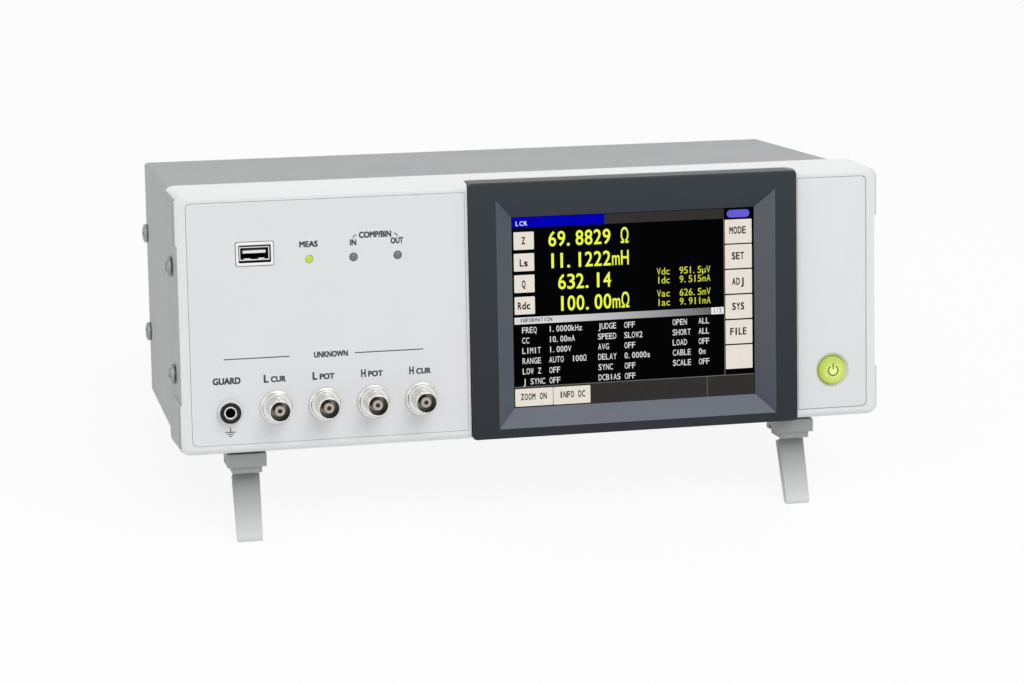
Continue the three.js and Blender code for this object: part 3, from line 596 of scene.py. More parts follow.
@dataclass(frozen=True)
class GradedFinish(Finish):
    """A finish whose colour changes evenly along one direction."""

    far_colour: Rgb = (0, 0, 0)
    direction: Triple = (0, 0, 1)
    start: float = 0.0
    end: float = 0.1

    def tint(self, graph: Graph) -> NodeSocket:
        """Adds a ramp from the colour at start to the far colour at end, a little uneven."""
        share = graph.along(Vector(self.direction), self.start, self.end)
        drift = graph.spread(graph.noise(self.cloud_size), -self.cloud, self.cloud)
        uneven = graph.tree.nodes.new("ShaderNodeMath")
        uneven.operation = "ADD"
        uneven.use_clamp = True
        graph.link(share, uneven.inputs[0])
        graph.link(drift, uneven.inputs[1])
        stops = [(0.0, linear(self.colour)), (1.0, linear(self.far_colour))]
        return graph.ramp(uneven.outputs["Value"], stops)


@dataclass(frozen=True)
class GlowFinish(Finish):
    """A lit surface, such as a screen mark, whose light has a fine even grain."""

    strength: float = 1.0
    base: Rgb = (4, 4, 5)

    def dress(self, graph: Graph) -> None:
        """Links the glow's colour, and gives the unlit surface under it its own."""
        sockets = graph.shader.inputs
        under = Finish(self.name, self.base, cloud=0.1, cloud_size=3)
        graph.link(under.tint(graph), sockets["Base Color"])
        graph.link(self.tint(graph), sockets["Emission Color"])
        sockets["Emission Strength"].default_value = self.strength
        sockets["Roughness"].default_value = self.roughness


@dataclass(frozen=True)
class GradedGlow(GlowFinish, GradedFinish):
    """A lit surface whose colour changes evenly along one direction."""


@dataclass(frozen=True)
class LampFinish(GlowFinish):
    """A lens lit from behind, brightest at its middle."""

    middle: Triple = (0, 0, 0)
    radius: float = 0.006
    rim_colour: Rgb = (150, 170, 40)

    def tint(self, graph: Graph) -> NodeSocket:
        """Adds a ramp from the middle's colour to the rim's."""
        share = graph.around(Vector(self.middle), self.radius)
        mixed = [(a + b) / 2 for a, b in zip(self.colour, self.rim_colour)]
        stops = [
            (0.1, linear(self.colour)),
            (0.5, linear((mixed[0], mixed[1], mixed[2]))),
            (1.0, linear(self.rim_colour)),
        ]
        return graph.ramp(share, stops)


FRONT_RESIN = Finish("front resin", (227, 228, 228), 0.46, cloud=0.012, grain_height=0.01)
PANEL_FILM = Finish("panel film", (224, 225, 227), 0.5, cloud=0.01, grain_height=0.006)
COVER_PAINT = Finish("cover paint", (163, 164, 165), 0.52, cloud=0.02, grain_size=0.4,
                     grain_height=0.02)
PLAIN_STEEL = Finish("plain steel", (190, 192, 194), 0.34, 0.9, cloud=0.06,
                     grain=Grain.ROLLED, grain_size=0.5, grain_height=0.004)
NICKEL = Finish("nickel plate", (228, 227, 223), 0.24, 1.0, cloud=0.05, cloud_size=4,
                grain=Grain.MOULDED, grain_size=0.3, grain_height=0.001)
# Darker nickel that paints shade into jack bores, grooves and the nut's inner wall, and onto the
# contacts deep in the insulators.
SHADED_NICKEL = Finish("nickel with painted shade", (150, 146, 138), 0.3, 1.0, cloud=0.15, cloud_size=3,
                     grain_size=0.3, grain_height=0.002)
WHITE_RESIN = Finish("white resin", (226, 222, 214), 0.45, cloud=0.03, cloud_size=6,
                     grain_height=0.005)
PORT_RESIN = Finish("port resin", (243, 243, 241), 0.4, cloud=0.01, cloud_size=6,
                    grain_height=0.003)
# Near-black painted shade for the insides of bores, mouths and recesses; the rear connector's dark
# insert takes it as its own colour.
PAINTED_SHADE_AND_INSERT_BLACK = Finish("painted recess shade and insert black", (14, 14, 15), 0.7, specular=0.1, cloud=0.1, cloud_size=3)
SCREW_STEEL = Finish("screw steel", (150, 152, 153), 0.32, 0.9, cloud=0.06, cloud_size=5,
                     grain_size=0.5, grain_height=0.004)
BEIGE_RESIN = Finish("beige insulator", (184, 172, 161), 0.4, cloud=0.05, cloud_size=3,
                     grain_height=0.004)
BLACK_RESIN = Finish("black resin", (34, 34, 37), 0.42, cloud=0.12, cloud_size=5)
GUARD_RESIN = Finish("guard resin", (222, 222, 221), 0.4, cloud=0.03, cloud_size=5,
                     grain_height=0.004)
MOUTH_RESIN = Finish("mouth resin", (15, 15, 16), 0.45, specular=0.3, cloud=0.1, cloud_size=3)
GREY_LENS = Finish("grey lens", (112, 113, 116), 0.28, cloud=0.04, cloud_size=2,
                   grain_height=0.001, coat=0.3)
LEG_RESIN = Finish("leg resin", (150, 151, 151), 0.5, cloud=0.02, cloud_size=14)
BOARD = Finish("board laminate", (32, 92, 56), 0.38, cloud=0.2, cloud_size=5,
               grain=Grain.WOVEN, grain_size=0.8, grain_height=0.02)
SUPPLY_ALLOY = Finish("supply alloy", (198, 200, 203), 0.38, 0.95, cloud=0.05,
                      grain=Grain.BRUSHED, grain_size=0.5, grain_height=0.004)
FOOT_RUBBER = Finish("foot rubber", (48, 48, 50), 0.78, cloud=0.1, cloud_size=3,
                     grain_size=0.4, grain_height=0.03)
PRINT_INK = Finish("print ink", (46, 48, 52), 0.6, cloud=0.06, cloud_size=2,
                   grain_height=0.002)
GLASS = Finish("screen glass", (2, 2, 3), 0.3, specular=0.01, cloud=0.2, cloud_size=40,
               grain_size=3, grain_height=0.0005)
LIT_LIME = GlowFinish("lit lamp", (198, 226, 60), 0.3, cloud=0.05, cloud_size=1.5,
                      strength=0.62, base=(110, 130, 40))

SLOT_FINISHES = {
    "front_resin": FRONT_RESIN,
    "panel_film": PANEL_FILM,
    "cover_paint": COVER_PAINT,
    "plain_steel": PLAIN_STEEL,
    "nickel": NICKEL,
    "white_resin": WHITE_RESIN,
    "black_resin": BLACK_RESIN,
    "grey_lens": GREY_LENS,
    "leg_resin": LEG_RESIN,
    "board_laminate": BOARD,
    "supply_alloy": SUPPLY_ALLOY,
    "foot_rubber": FOOT_RUBBER,
    "screen_glass": GLASS,
}


def accent(piece: Object, main: Finish, second: Finish, test: PlaceTest) -> None:
    """Gives the faces that pass a test a second finish.

    Args:
        piece: The piece, level.
        main: The finish of its other faces.
        second: The finish of the picked faces.
        test: Takes a face's middle and normal, and says whether it is picked.
    """
    if not piece.data.materials:
        piece.data.materials.append(main.material())
    piece.data.materials.append(second.material())
    for face in piece.data.polygons:
        if test(face.center, face.normal):
            face.material_index = len(piece.data.materials) - 1


# ---- sub-assemblies ----
@dataclass
class SubAssembly:
    """Pieces of the meter that are built and dressed together."""

    stance: Stance
    body: str = "chassis"

    def build(self) -> list[Object]:
        """Builds the pieces.

        Returns:
            The finished pieces.
        """
        raise NotImplementedError

    def settle(
        self, piece: Object, finish: Finish, slot: str, nodes: Sequence[str] = (), body: str = ""
    ) -> Object:
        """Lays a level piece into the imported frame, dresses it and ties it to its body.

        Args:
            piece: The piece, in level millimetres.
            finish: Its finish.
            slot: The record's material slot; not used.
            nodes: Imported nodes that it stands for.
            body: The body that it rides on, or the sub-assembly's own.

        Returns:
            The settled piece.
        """
        piece.data.transform(self.stance.matrix)
        if not piece.data.materials or piece.data.materials[0] is None:
            piece.data.materials.clear()
            piece.data.materials.append(finish.material())
        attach(piece, body or self.body)
        if nodes:
            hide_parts(*nodes)
        return piece


JACKS = ("l_cur", "l_pot", "h_pot", "h_cur")
LAMPS = ("meas", "in", "out")


@dataclass
class FrontFrame(SubAssembly):
    """The pale moulded frame round the front, with its two facia panels."""

    corner: float = 5.0
    edge: float = 3.0
    draft: float = 0.9
    face: float = 4.0
    wall: float = 3.4
    gap: float = 0.3
    grip_front: float = 2.5
    grip_rear: Pair = (1.5, 2.2)
    grip_margin: float = 23.6
    groove: float = 0.16
    # Depth of the painted highlight that pales the frame's top.
    top_highlight_depth: float = 2.2
    panel_edge: float = 0.5
    panel_corner: float = 2.5
    bezel_corner: float = 0.5
    thread_radius: float = 4.6
    tail_radius: float = 3.9
    shank_radius: float = 1.9
    dish: float = 1.3
    edge_softness: float = 0.42

    def passages(self, front: float, back: float) -> list[Object]:
        """Makes cutters for every fitting that goes through the front.

        Args:
            front: Where the cutters start.
            back: Where they end.

        Returns:
            The cutters.
        """
        stance = self.stance
        cutters = [
            turned("cutter", stance.middle(f"jack_shell_{jack}"),
                   [(self.thread_radius + self.gap, front),
                    (self.thread_radius + self.gap, back)], SMALL_TURN)
            for jack in JACKS
        ]
        for lamp in LAMPS:
            low, high = stance.box(f"led_{lamp}")
            radius = (high.x - low.x) / 2 + self.gap
            cutters.append(turned("cutter", stance.middle(f"led_{lamp}"),
                                  [(radius, front), (radius, back)], 32))
        radius = self.tail_radius + self.gap
        cutters.append(turned("cutter", stance.middle("guard_socket"),
                              [(radius, front), (radius, back)], SMALL_TURN))
        low, high = stance.box("usb_insert")
        gap = Vector((self.gap, 0, self.gap))
        cutters.append(rounded_block("cutter", Vector((low.x, front, low.z)) - gap,
                                     Vector((high.x, back, high.z)) + gap, 0.9))
        return cutters

    def button_radius(self) -> float:
        """Gives the radius of the power button's cap, from the joint's own node box."""
        low, high = self.stance.box("power_button")
        return (high.x - low.x) / 2 - 1.4

    def frame_piece(self) -> Object:
        """Models the frame itself: box, rounded front, draft, cavity, notch, pockets and grips."""
        stance = self.stance
        low, high = stance.box("front_frame")
        piece = rounded_block("frame_moulding", low, high, self.corner, 9)
        with shaping(piece, Element.EDGE):
            pick_edges(lambda a, b: max(a.y, b.y) < low.y + CLOSE)
            bpy.ops.mesh.bevel(offset=self.edge, segments=6, affect="EDGES")
        with shaping(piece):
            pick_faces(lambda at, _: at.y < low.y + self.edge)
            half, middle = (high - low) / 2, (high + low) / 2
            bpy.ops.transform.resize(
                value=(1 - self.draft / half.x, 1, 1 - self.draft / half.z),
                center_override=(middle.x, low.y, middle.z),
            )
        tray_low, tray_high = stance.box("chassis_tray")
        cutters = [
            block("cutter", (tray_low.x - self.gap, self.face, tray_low.z - self.gap),
                  (tray_high.x + self.gap, high.y + 1, high.z - self.wall))
        ]
        for side, wall, rear in ((-1, low.x, self.grip_rear[0]), (1, high.x, self.grip_rear[1])):
            outer, inner = wall + side, wall - side * rear
            grip = block("cutter", (min(outer, inner), low.y - 1, low.z + self.grip_margin),
                         (max(outer, inner), high.y + 1, high.z - self.grip_margin))
            with shaping(grip, Element.EDGE):
                pick_edges(lambda a, b: abs(a.z - b.z) > 1 and max(a.y, b.y) < low.y
                           and abs(a.x - inner) < CLOSE)
                bpy.ops.transform.translate(value=(-side * (self.grip_front - rear), 0, 0))
            cutters.append(grip)
        bezel_low, bezel_high = stance.box("display_bezel")
        notch = block("cutter", (bezel_low.x - self.gap, bezel_low.y - 5, low.z - 1),
                      (bezel_high.x + self.gap, bezel_high.y + self.gap, high.z + 1))
        with shaping(notch, Element.EDGE):
            pick_edges(lambda a, b: abs(a.z - b.z) > 1 and min(a.y, b.y) > bezel_high.y)
            bpy.ops.mesh.bevel(offset=3.3, segments=7, affect="EDGES")
        cutters.append(notch)
        for node in ("left_panel", "right_panel"):
            at_low, at_high = stance.box(node)
            rim = Vector((self.groove, 0, self.groove))
            cutters.append(self.outline(
                "cutter", node, Vector((at_low.x, -1, at_low.z)) - rim,
                Vector((at_high.x, at_high.y + self.gap, at_high.z)) + rim))
        cutters += self.passages(-1, self.face + 1)
        radius = self.button_radius() + 0.4
        cutters.append(turned("cutter", stance.middle("power_button"),
                              [(radius, -1), (radius, self.face + 1)]))
        for level in ("lower", "upper"):
            for side in ("left", "right"):
                screw_low, screw_high = stance.box(f"cover_screw_{side}_front_{level}")
                middle = (screw_low + screw_high) / 2
                cutters.append(side_peg("cutter", tuple(middle), self.shank_radius + self.gap, 20))
        cut(piece, cutters)
        soften(piece, self.edge_softness, 2, 38)
        return piece

    def outline(self, name: str, node: str, low: Vector, high: Vector) -> Object:
        """Adds a box with a panel's outline: round outer corners, nearly square by the bezel.

        Args:
            name: The box's name.
            node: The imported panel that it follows.
            low: Its lowest corner.
            high: Its highest corner.

        Returns:
            The box.
        """
        piece = block(name, low, high)
        middle = (low.x + high.x) / 2
        outer = (lambda x: x < middle) if node == "left_panel" else (lambda x: x > middle)
        with shaping(piece, Element.EDGE):
            pick_edges(lambda a, b: abs(a.y - b.y) > CLOSE and outer(a.x))
            bpy.ops.mesh.bevel(offset=self.panel_corner, segments=7, affect="EDGES")
            pick_edges(lambda a, b: abs(a.y - b.y) > CLOSE and not outer(a.x))
            bpy.ops.mesh.bevel(offset=self.bezel_corner, segments=3, affect="EDGES")
        return piece

    def panel_piece(self, node: str, name: str) -> Object:
        """Models one facia panel with its rounded corners and openings.

        Args:
            node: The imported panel.
            name: The new piece's name.

        Returns:
            The panel, level.
        """
        low, high = self.stance.box(node)
        piece = self.outline(name, node, low, high)
        if node == "left_panel":
            cut(piece, self.passages(-1, high.y + 1))
            soften(piece, self.panel_edge, 4, 38)
            return piece
        round_edges(piece, self.panel_edge, 4, 38)
        radius = self.button_radius() + 0.4
        cut(piece, [turned("cutter", self.stance.middle("power_button"), [
            (radius + self.dish * 1.1, low.y - 0.1), (radius + self.dish, low.y),
            (radius + self.dish * 0.6, low.y + 0.6), (radius, low.y + 1.1),
            (radius, high.y + 1)], 72)])
        crisp_shade(piece, 24)
        return piece

    def paint_side_shade(self, piece: Object) -> None:
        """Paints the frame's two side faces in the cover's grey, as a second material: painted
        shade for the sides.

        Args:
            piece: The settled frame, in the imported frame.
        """
        piece.data.materials.append(COVER_PAINT.material())
        low, high = self.stance.box("front_frame")
        back = self.stance.matrix.inverted()
        reach = (high.x - low.x) / 2 - self.corner / 2
        for face in piece.data.polygons:
            at = back @ face.center
            # Painted shade: faces that look sideways take the cover's darker grey.
            if abs(face.normal.x) > 0.72 and abs(at.x) > reach and at.y > self.edge / 3:
                face.material_index = 1

    def resin(self) -> Finish:
        """Gives the frame's finish, with a painted highlight that makes it paler over its topmost
        millimetres.
        """
        up = self.stance.turn @ Vector((0, 0, 1))
        top = up.dot(self.stance.matrix @ self.stance.box("front_frame")[1])
        # Painted highlight: the colour turns paler over the top of the frame.
        return GradedFinish(
            "front resin with painted top highlight", FRONT_RESIN.colour, FRONT_RESIN.roughness,
            cloud=FRONT_RESIN.cloud, grain_height=FRONT_RESIN.grain_height,
            far_colour=(246, 247, 247), direction=tuple(up),
            start=top - self.top_highlight_depth * MM, end=top - self.top_highlight_depth / 3 * MM)

    def build(self) -> list[Object]:
        """Builds the frame and both panels."""
        moulding = self.settle(self.frame_piece(), self.resin(), "front_resin", ["front_frame"])
        self.paint_side_shade(moulding)
        left = self.settle(self.panel_piece("left_panel", "facia_left"), PANEL_FILM,
                           "panel_film", ["left_panel"])
        right = self.settle(self.panel_piece("right_panel", "facia_right"), PANEL_FILM,
                            "panel_film", ["right_panel"])
        return [moulding, left, right]


@dataclass
class DisplaySurround(SubAssembly):
    """The slate display bezel, with its sunk window and four sloping sides."""

    corner: float = 2.0
    back_corner: float = 3.0
    edge: float = 0.8
    lip: float = 1.2
    lap: float = 5.5
    window_depth: float = 4.0
    slope_side: float = 8.4
    slope_upper: float = 8.7
    slope_lower: float = 8.2
    touch_lap: float = 4.2

    def window(self) -> tuple[Vector, Vector]:
        """Gives the window's lowest and highest corner, from the touch panel behind it.

        Returns:
            The two corners, at the window's depth.
        """
        low, high = self.stance.box("touch_panel")
        lap = Vector((self.touch_lap, 0, self.touch_lap))
        low, high = low + lap, high - lap
        return (Vector((low.x, self.window_depth, low.z)),
                Vector((high.x, self.window_depth, high.z)))

    @staticmethod
    def fit_ring(old_low: Vector, old_high: Vector, low: Vector, high: Vector) -> None:
        """Stretches the picked rectangle from one pair of corners to another.

        Args:
            old_low: Where its lowest corner is.
            old_high: Where its highest corner is.
            low: Where its lowest corner goes.
            high: Where its highest corner goes.
        """
        old_middle, middle = (old_low + old_high) / 2, (low + high) / 2
        bpy.ops.transform.resize(
            value=((high.x - low.x) / (old_high.x - old_low.x), 1,
                   (high.z - low.z) / (old_high.z - old_low.z)),
            center_override=old_middle,
        )
        bpy.ops.transform.translate(value=middle - old_middle)

    def build(self) -> list[Object]:
        """Models the bezel: outline, window with sloping sides, lip, and a pocket behind."""
        low, high = self.stance.box("display_bezel")
        glass_low, glass_high = self.window()
        piece = block("display_surround", low, high)
        step = Vector((1, 0, 1))
        outer_low = Vector(
            (glass_low.x - self.slope_side, low.y, glass_low.z - self.slope_lower))
        outer_high = Vector(
            (glass_high.x + self.slope_side, low.y, glass_high.z + self.slope_upper))
        lip_place = self.window_depth + self.lip
        with shaping(piece):
            pick_faces(lambda at, normal: normal.y < -FACING)
            bpy.ops.mesh.inset(thickness=1, use_even_offset=True)
            self.fit_ring(Vector((low.x, low.y, low.z)) + step,
                          Vector((high.x, low.y, high.z)) - step, outer_low, outer_high)
            bpy.ops.mesh.extrude_region_move(
                TRANSFORM_OT_translate={"value": (0, self.window_depth - low.y, 0)})
            sunk = Vector((0, self.window_depth - low.y, 0))
            self.fit_ring(outer_low + sunk, outer_high + sunk, glass_low, glass_high)
            bpy.ops.mesh.extrude_region_move(TRANSFORM_OT_translate={"value": (0, self.lip, 0)})
            bpy.ops.mesh.delete(type="ONLY_FACE")
            pick_faces(lambda at, normal: normal.y > FACING)
            bpy.ops.mesh.inset(thickness=1, use_even_offset=True)
            lap = Vector((self.lap, 0, self.lap))
            flat = Vector((0, high.y - self.window_depth, 0))
            self.fit_ring(Vector((low.x, high.y, low.z)) + step,
                          Vector((high.x, high.y, high.z)) - step,
                          glass_low - lap + flat, glass_high + lap + flat)
            bpy.ops.mesh.extrude_region_move(
                TRANSFORM_OT_translate={"value": (0, lip_place - high.y, 0)})
            bpy.ops.mesh.delete(type="ONLY_FACE")
        with shaping(piece, Element.EDGE):
            pick_edges(lambda a, b: abs(a.y - lip_place) < CLOSE and abs(b.y - lip_place) < CLOSE)
            bpy.ops.mesh.bridge_edge_loops()
        with shaping(piece):
            bpy.ops.mesh.select_all(action="SELECT")
            bpy.ops.mesh.normals_make_consistent(inside=False)
        self.round_outline(piece, low, high)
        soften(piece, 0.22, 2, 20)
        # The bezel's slate takes painted light: a little lighter towards its top.
        slate = self.slate("slate bezel with painted light", (34, 38, 45), (45, 52, 57))
        # Painted light and shade by the way each slope faces: the lower and side slopes lit, the
        # upper slope, facing down, kept dark.
        lit_and_shaded_slopes = (
            ("slate slope left painted light", (80, 88, 96), (78, 86, 94), lambda at, n: n.x > 0.3),
            ("slate slope right painted light", (72, 77, 86), (92, 97, 103), lambda at, n: n.x < -0.3),
            ("slate slope lower painted light", (96, 101, 112), (96, 101, 112), lambda at, n: n.z > 0.3),
            ("slate slope upper painted shade", (50, 57, 66), (50, 57, 66), lambda at, n: n.z < -0.3),
        )
        for name, foot, top, faces_that_way in lit_and_shaded_slopes:
            accent(piece, slate, self.slate(name, foot, top), lambda at, n: (
                faces_that_way(at, n) and n.y < -0.2
                and outer_low.x < at.x < outer_high.x and outer_low.z < at.z < outer_high.z))
        return [self.settle(piece, slate, "bezel_resin", ["display_bezel"])]

    def round_outline(self, piece: Object, low: Vector, high: Vector) -> None:
        """Rounds the bezel's outline, its front rim and its two upright rear edges.

        Args:
            piece: The bezel with a square outline.
            low: Its lowest corner.
            high: Its highest corner.
        """
        past = Vector((0, 1, 0))
        front = rounded_block("envelope", low, high + past, self.corner, 6)
        with shaping(front, Element.EDGE):
            pick_edges(lambda a, b: max(a.y, b.y) < low.y + CLOSE)
            bpy.ops.mesh.bevel(offset=self.edge, segments=4, affect="EDGES")
        keep(piece, front)
        over = Vector((0, 0, 1))
        rear = block("envelope", low - past - over, high + over)
        with shaping(rear, Element.EDGE):
            pick_edges(lambda a, b: abs(a.z - b.z) > 1 and min(a.y, b.y) > high.y - CLOSE)
            bpy.ops.mesh.bevel(offset=self.back_corner, segments=7, affect="EDGES")
        keep(piece, rear)

    def slate(self, name: str, painted_foot_colour: Rgb, painted_top_colour: Rgb) -> GradedFinish:
        """Gives the bezel's slate, with painted light graded from its foot to its top.

        Args:
            name: The finish's name.
            painted_foot_colour: Its colour at the bezel's foot.
            painted_top_colour: Its colour at the bezel's top.

        Returns:
            The finish.
        """
        low, high = self.stance.box("display_bezel")
        up = self.stance.turn @ Vector((0, 0, 1))
        foot = up.dot(self.stance.matrix @ low)
        return GradedFinish(
            name, painted_foot_colour, 0.42, specular=0.25, cloud=0.03, cloud_size=20,
            grain_height=0.006, far_colour=painted_top_colour, direction=tuple(up),
            start=foot, end=foot + (high.z - low.z) * MM)


class Typesetter:
    """Sets letters as flat meshes facing the front, each letter modelled once."""

    def __init__(self) -> None:
        """Starts with no letters made."""
        self._masters: dict[tuple[str, float], Mesh] = {}

    def master(self, words: str, weight: float) -> Mesh:
        """Gives the flat mesh of a letter or word at size 1.

        Args:
            words: What it says.
            weight: How much its strokes are thickened.

        Returns:
            The mesh, lying in x and y.
        """
        key = (words, weight)
        if key not in self._masters:
            deselect()
            bpy.ops.object.text_add()
            text = bpy.context.object
            text.data.body = words
            text.data.resolution_u = 3
            bpy.ops.object.convert(target="MESH")
            made = bpy.context.object
            if weight:
                shifts = ((-1, -1), (1, -1), (-1, 1), (1, 1))
                made = joined("letters", [
                    copied(made, "letters", Matrix.Translation(
                        (weight * across, weight * up * 0.7, 0.002 * place)))
                    for place, (across, up) in enumerate(shifts)])
                bpy.data.objects.remove(text)
            self._masters[key] = made.data.copy()
            bpy.data.objects.remove(made)
        return self._masters[key]

    def lay(self, words: str, low: Pair, high: Pair, depth: float, weight: float) -> Object:
        """Lays a word so that it fills a width and has a cap height.

        Args:
            words: What it says.
            low: X of its left end and z of its foot line.
            high: X of its right end and z of its cap line.
            depth: Its y.
            weight: How much its strokes are thickened.

        Returns:
            The flat word, in level millimetres.
        """
        mesh = self.master(words, weight).copy()
        left = min(v.co.x for v in mesh.vertices)
        right = max(v.co.x for v in mesh.vertices)
        across = (high[0] - low[0]) / (right - left)
        up = (high[1] - low[1]) / CAP_HEIGHT
        mesh.transform(
            Matrix.Translation((low[0] - left * across, depth, low[1]))
            @ Matrix.Rotation(math.pi / 2, 4, "X")
            @ Matrix.Diagonal((across, up, 1, 1))
        )
        word = bpy.data.objects.new("word", mesh)
        bpy.context.scene.collection.objects.link(word)
        return word

    def even(
        self, words: str, start: Pair, pitch: float, height: float, depth: float, weight: float
    ) -> list[Object]:
        """Lays a line of letters at one even pitch, as on a display.

        Args:
            words: What it says.
            start: X of the first cell's left edge and z of the foot line.
            pitch: Width of one cell.
            height: Cap height.
            depth: The line's y.
            weight: How much the strokes are thickened.

        Returns:
            One flat mesh a letter.
        """
        laid = []
        for place, sign in enumerate(words):
            if sign == " ":
                continue
            mesh = self.master(sign, weight)
            natural = max(v.co.x for v in mesh.vertices) - min(v.co.x for v in mesh.vertices)
            width = min(natural * height / CAP_HEIGHT, pitch * 0.86)
            middle = start[0] + (place + (0.26 if sign == "." else 0.5)) * pitch
            laid.append(self.lay(sign, (middle - width / 2, start[1]),
                                 (middle + width / 2, start[1] + height), depth, weight))
        return laid


def strip(points: Sequence[Pair], width: float, depth: float, closed: bool = False) -> Object:
    """Draws a flat line facing the front through some points.

    Args:
        points: X and z of each point.
        width: Width of the line.
        depth: Its y.
        closed: Whether its end meets its start.

    Returns:
        The flat line, in level millimetres.
    """
    count = len(points)
    sides: list[tuple[Vector, Vector]] = []
    for i, (x, z) in enumerate(points):
        before = points[i - 1] if i or closed else points[i]
        after = points[(i + 1) % count] if i + 1 < count or closed else points[i]
        run = Vector((after[0] - before[0], 0, after[1] - before[1])).normalized()
        side = Vector((-run.z, 0, run.x)) * width / 2
        sides.append((Vector((x, depth, z)) + side, Vector((x, depth, z)) - side))
    deselect()
    first, second = sides[0], sides[1]
    bpy.ops.mesh.primitive_plane_add(size=1)
    line = bpy.context.object
    for vertex, place in zip(line.data.vertices, (first[0], first[1], second[0], second[1])):
        vertex.co = place
    with shaping(line, Element.EDGE):
        last = second
        path = [*sides[2:], sides[0]] if closed else sides[2:]
        for pair in path:
            ends = (last[0].copy(), last[1].copy())
            pick_edges(lambda a, b: {tuple(round(c, 4) for c in a),
                                     tuple(round(c, 4) for c in b)}
                       == {tuple(round(c, 4) for c in ends[0]),
                           tuple(round(c, 4) for c in ends[1])})
            bpy.ops.mesh.extrude_edges_move()
            mesh = bmesh.from_edit_mesh(line.data)
            fresh = [v for v in mesh.verts if v.select]
            for vertex in fresh:
                near = 0 if (vertex.co - ends[0]).length < (vertex.co - ends[1]).length else 1
                vertex.co = pair[near]
            bmesh.update_edit_mesh(line.data)
            last = pair
        bpy.ops.mesh.select_all(action="SELECT")
        bpy.ops.mesh.remove_doubles(threshold=0.0005)
    with shaping(line):
        if pick_faces(lambda at, normal: normal.y > 0):
            bpy.ops.mesh.flip_normals()
    return line


def arc(middle: Pair, radius: float, start: float, end: float, steps: int) -> list[Pair]:
    """Gives points round an arc, from one angle in degrees to another."""
    angles = [math.radians(start + (end - start) * i / steps) for i in range(steps + 1)]
    return [(middle[0] + radius * math.cos(a), middle[1] + radius * math.sin(a)) for a in angles]


@dataclass
class Legends(SubAssembly):
    """Plain control words and signs printed on the facia panels."""

    setter: Typesetter = field(default_factory=Typesetter)
    lift: float = 0.02
    weight: float = 0.05
    line: float = 0.42
    foot_above_jacks: float = 11.4
    lead_above_foot: float = 11.2

    def words(self) -> list[tuple[str, Pair, Pair]]:
        """Lists each word with its left foot point and its right cap point.

        Returns:
            Word, low and high of every printed word.
        """
        jack = {name: self.stance.middle(f"jack_shell_{name}") for name in JACKS}
        foot = jack["l_cur"][1] + self.foot_above_jacks
        lamp_z = self.stance.middle("led_meas")[1]
        lamp = {name: self.stance.middle(f"led_{name}")[0] for name in LAMPS}
        guard = self.stance.middle("guard_socket")[0]
        listed = [
            ("MEAS", (lamp["meas"] - 4.3, lamp_z + 5.5), (lamp["meas"] + 4.1, lamp_z + 8.0)),
            ("IN", (lamp["in"] - 1.5, lamp_z + 5.35), (lamp["in"] + 1.4, lamp_z + 7.9)),
            ("OUT", (lamp["out"] - 3.1, lamp_z + 5.35), (lamp["out"] + 2.7, lamp_z + 7.9)),
            ("COMP/BIN", (lamp["in"] + 2.6, lamp_z + 8.5), (lamp["out"] - 2.7, lamp_z + 11.1)),
            ("GUARD", (guard - 7.3, foot + 0.1), (guard + 5.2, foot + 2.9)),
            ("UNKNOWN", (jack["l_pot"][0] - 4.7, foot + 10.0),
             (jack["h_pot"][0] - 11.3, foot + 12.5)),
        ]
        for name in JACKS:
            letter, rest = name.upper().split("_")
            x = jack[name][0]
            listed.append((letter, (x - 5.6, foot), (x - 3.4, foot + 3.3)))
            listed.append((rest, (x - 2.4, foot), (x + 4.4, foot + 2.45)))
        return listed

    def signs(self) -> list[Object]:
        """Draws the rules beside UNKNOWN, the two curved leads and the earth sign."""
        depth = self.stance.box("left_panel")[0].y - self.lift
        left = self.stance.middle("jack_shell_l_cur")
        right = self.stance.middle("jack_shell_h_cur")
        level = left[1] + self.foot_above_jacks + self.lead_above_foot
        guard_x, guard_z = self.stance.middle("guard_socket")
        lamp_in, lamp_z = self.stance.middle("led_in")
        lamp_out = self.stance.middle("led_out")[0]
        rise, turn = lamp_z + 8.3, 1.7
        marks = [
            strip([(left[0] - 23.1, level), (left[0] - 8.3, level), (left[0] + 6.4, level)],
                  0.45, depth),
            strip([(right[0] - 30.1, level), (right[0] - 15, level), (right[0] + 1.2, level)],
                  0.45, depth),
            strip(arc((lamp_in + turn, rise), turn, 175, 95, 6), self.line, depth),
            strip(arc((lamp_out - turn, rise), turn, 5, 85, 6), self.line, depth),
        ]
        foot = guard_z - 8.0
        marks.append(strip([(guard_x, foot + 0.9), (guard_x, foot), (guard_x, foot - 1.2)],
                           self.line, depth))
        for drop, half in ((1.2, 2.4), (2.15, 1.45), (3.1, 0.7)):
            marks.append(strip([(guard_x - half, foot - drop), (guard_x, foot - drop),
                                (guard_x + half, foot - drop)], self.line, depth))
        return marks

    def build(self) -> list[Object]:
        """Prints the words and signs on the left panel."""
        depth = self.stance.box("left_panel")[0].y - self.lift
        words = [self.setter.lay(word, low, high, depth, self.weight)
                 for word, low, high in self.words()]
        piece = joined("printed_legends", [*words, *self.signs()])
        return [self.settle(piece, PRINT_INK, "panel_film")]


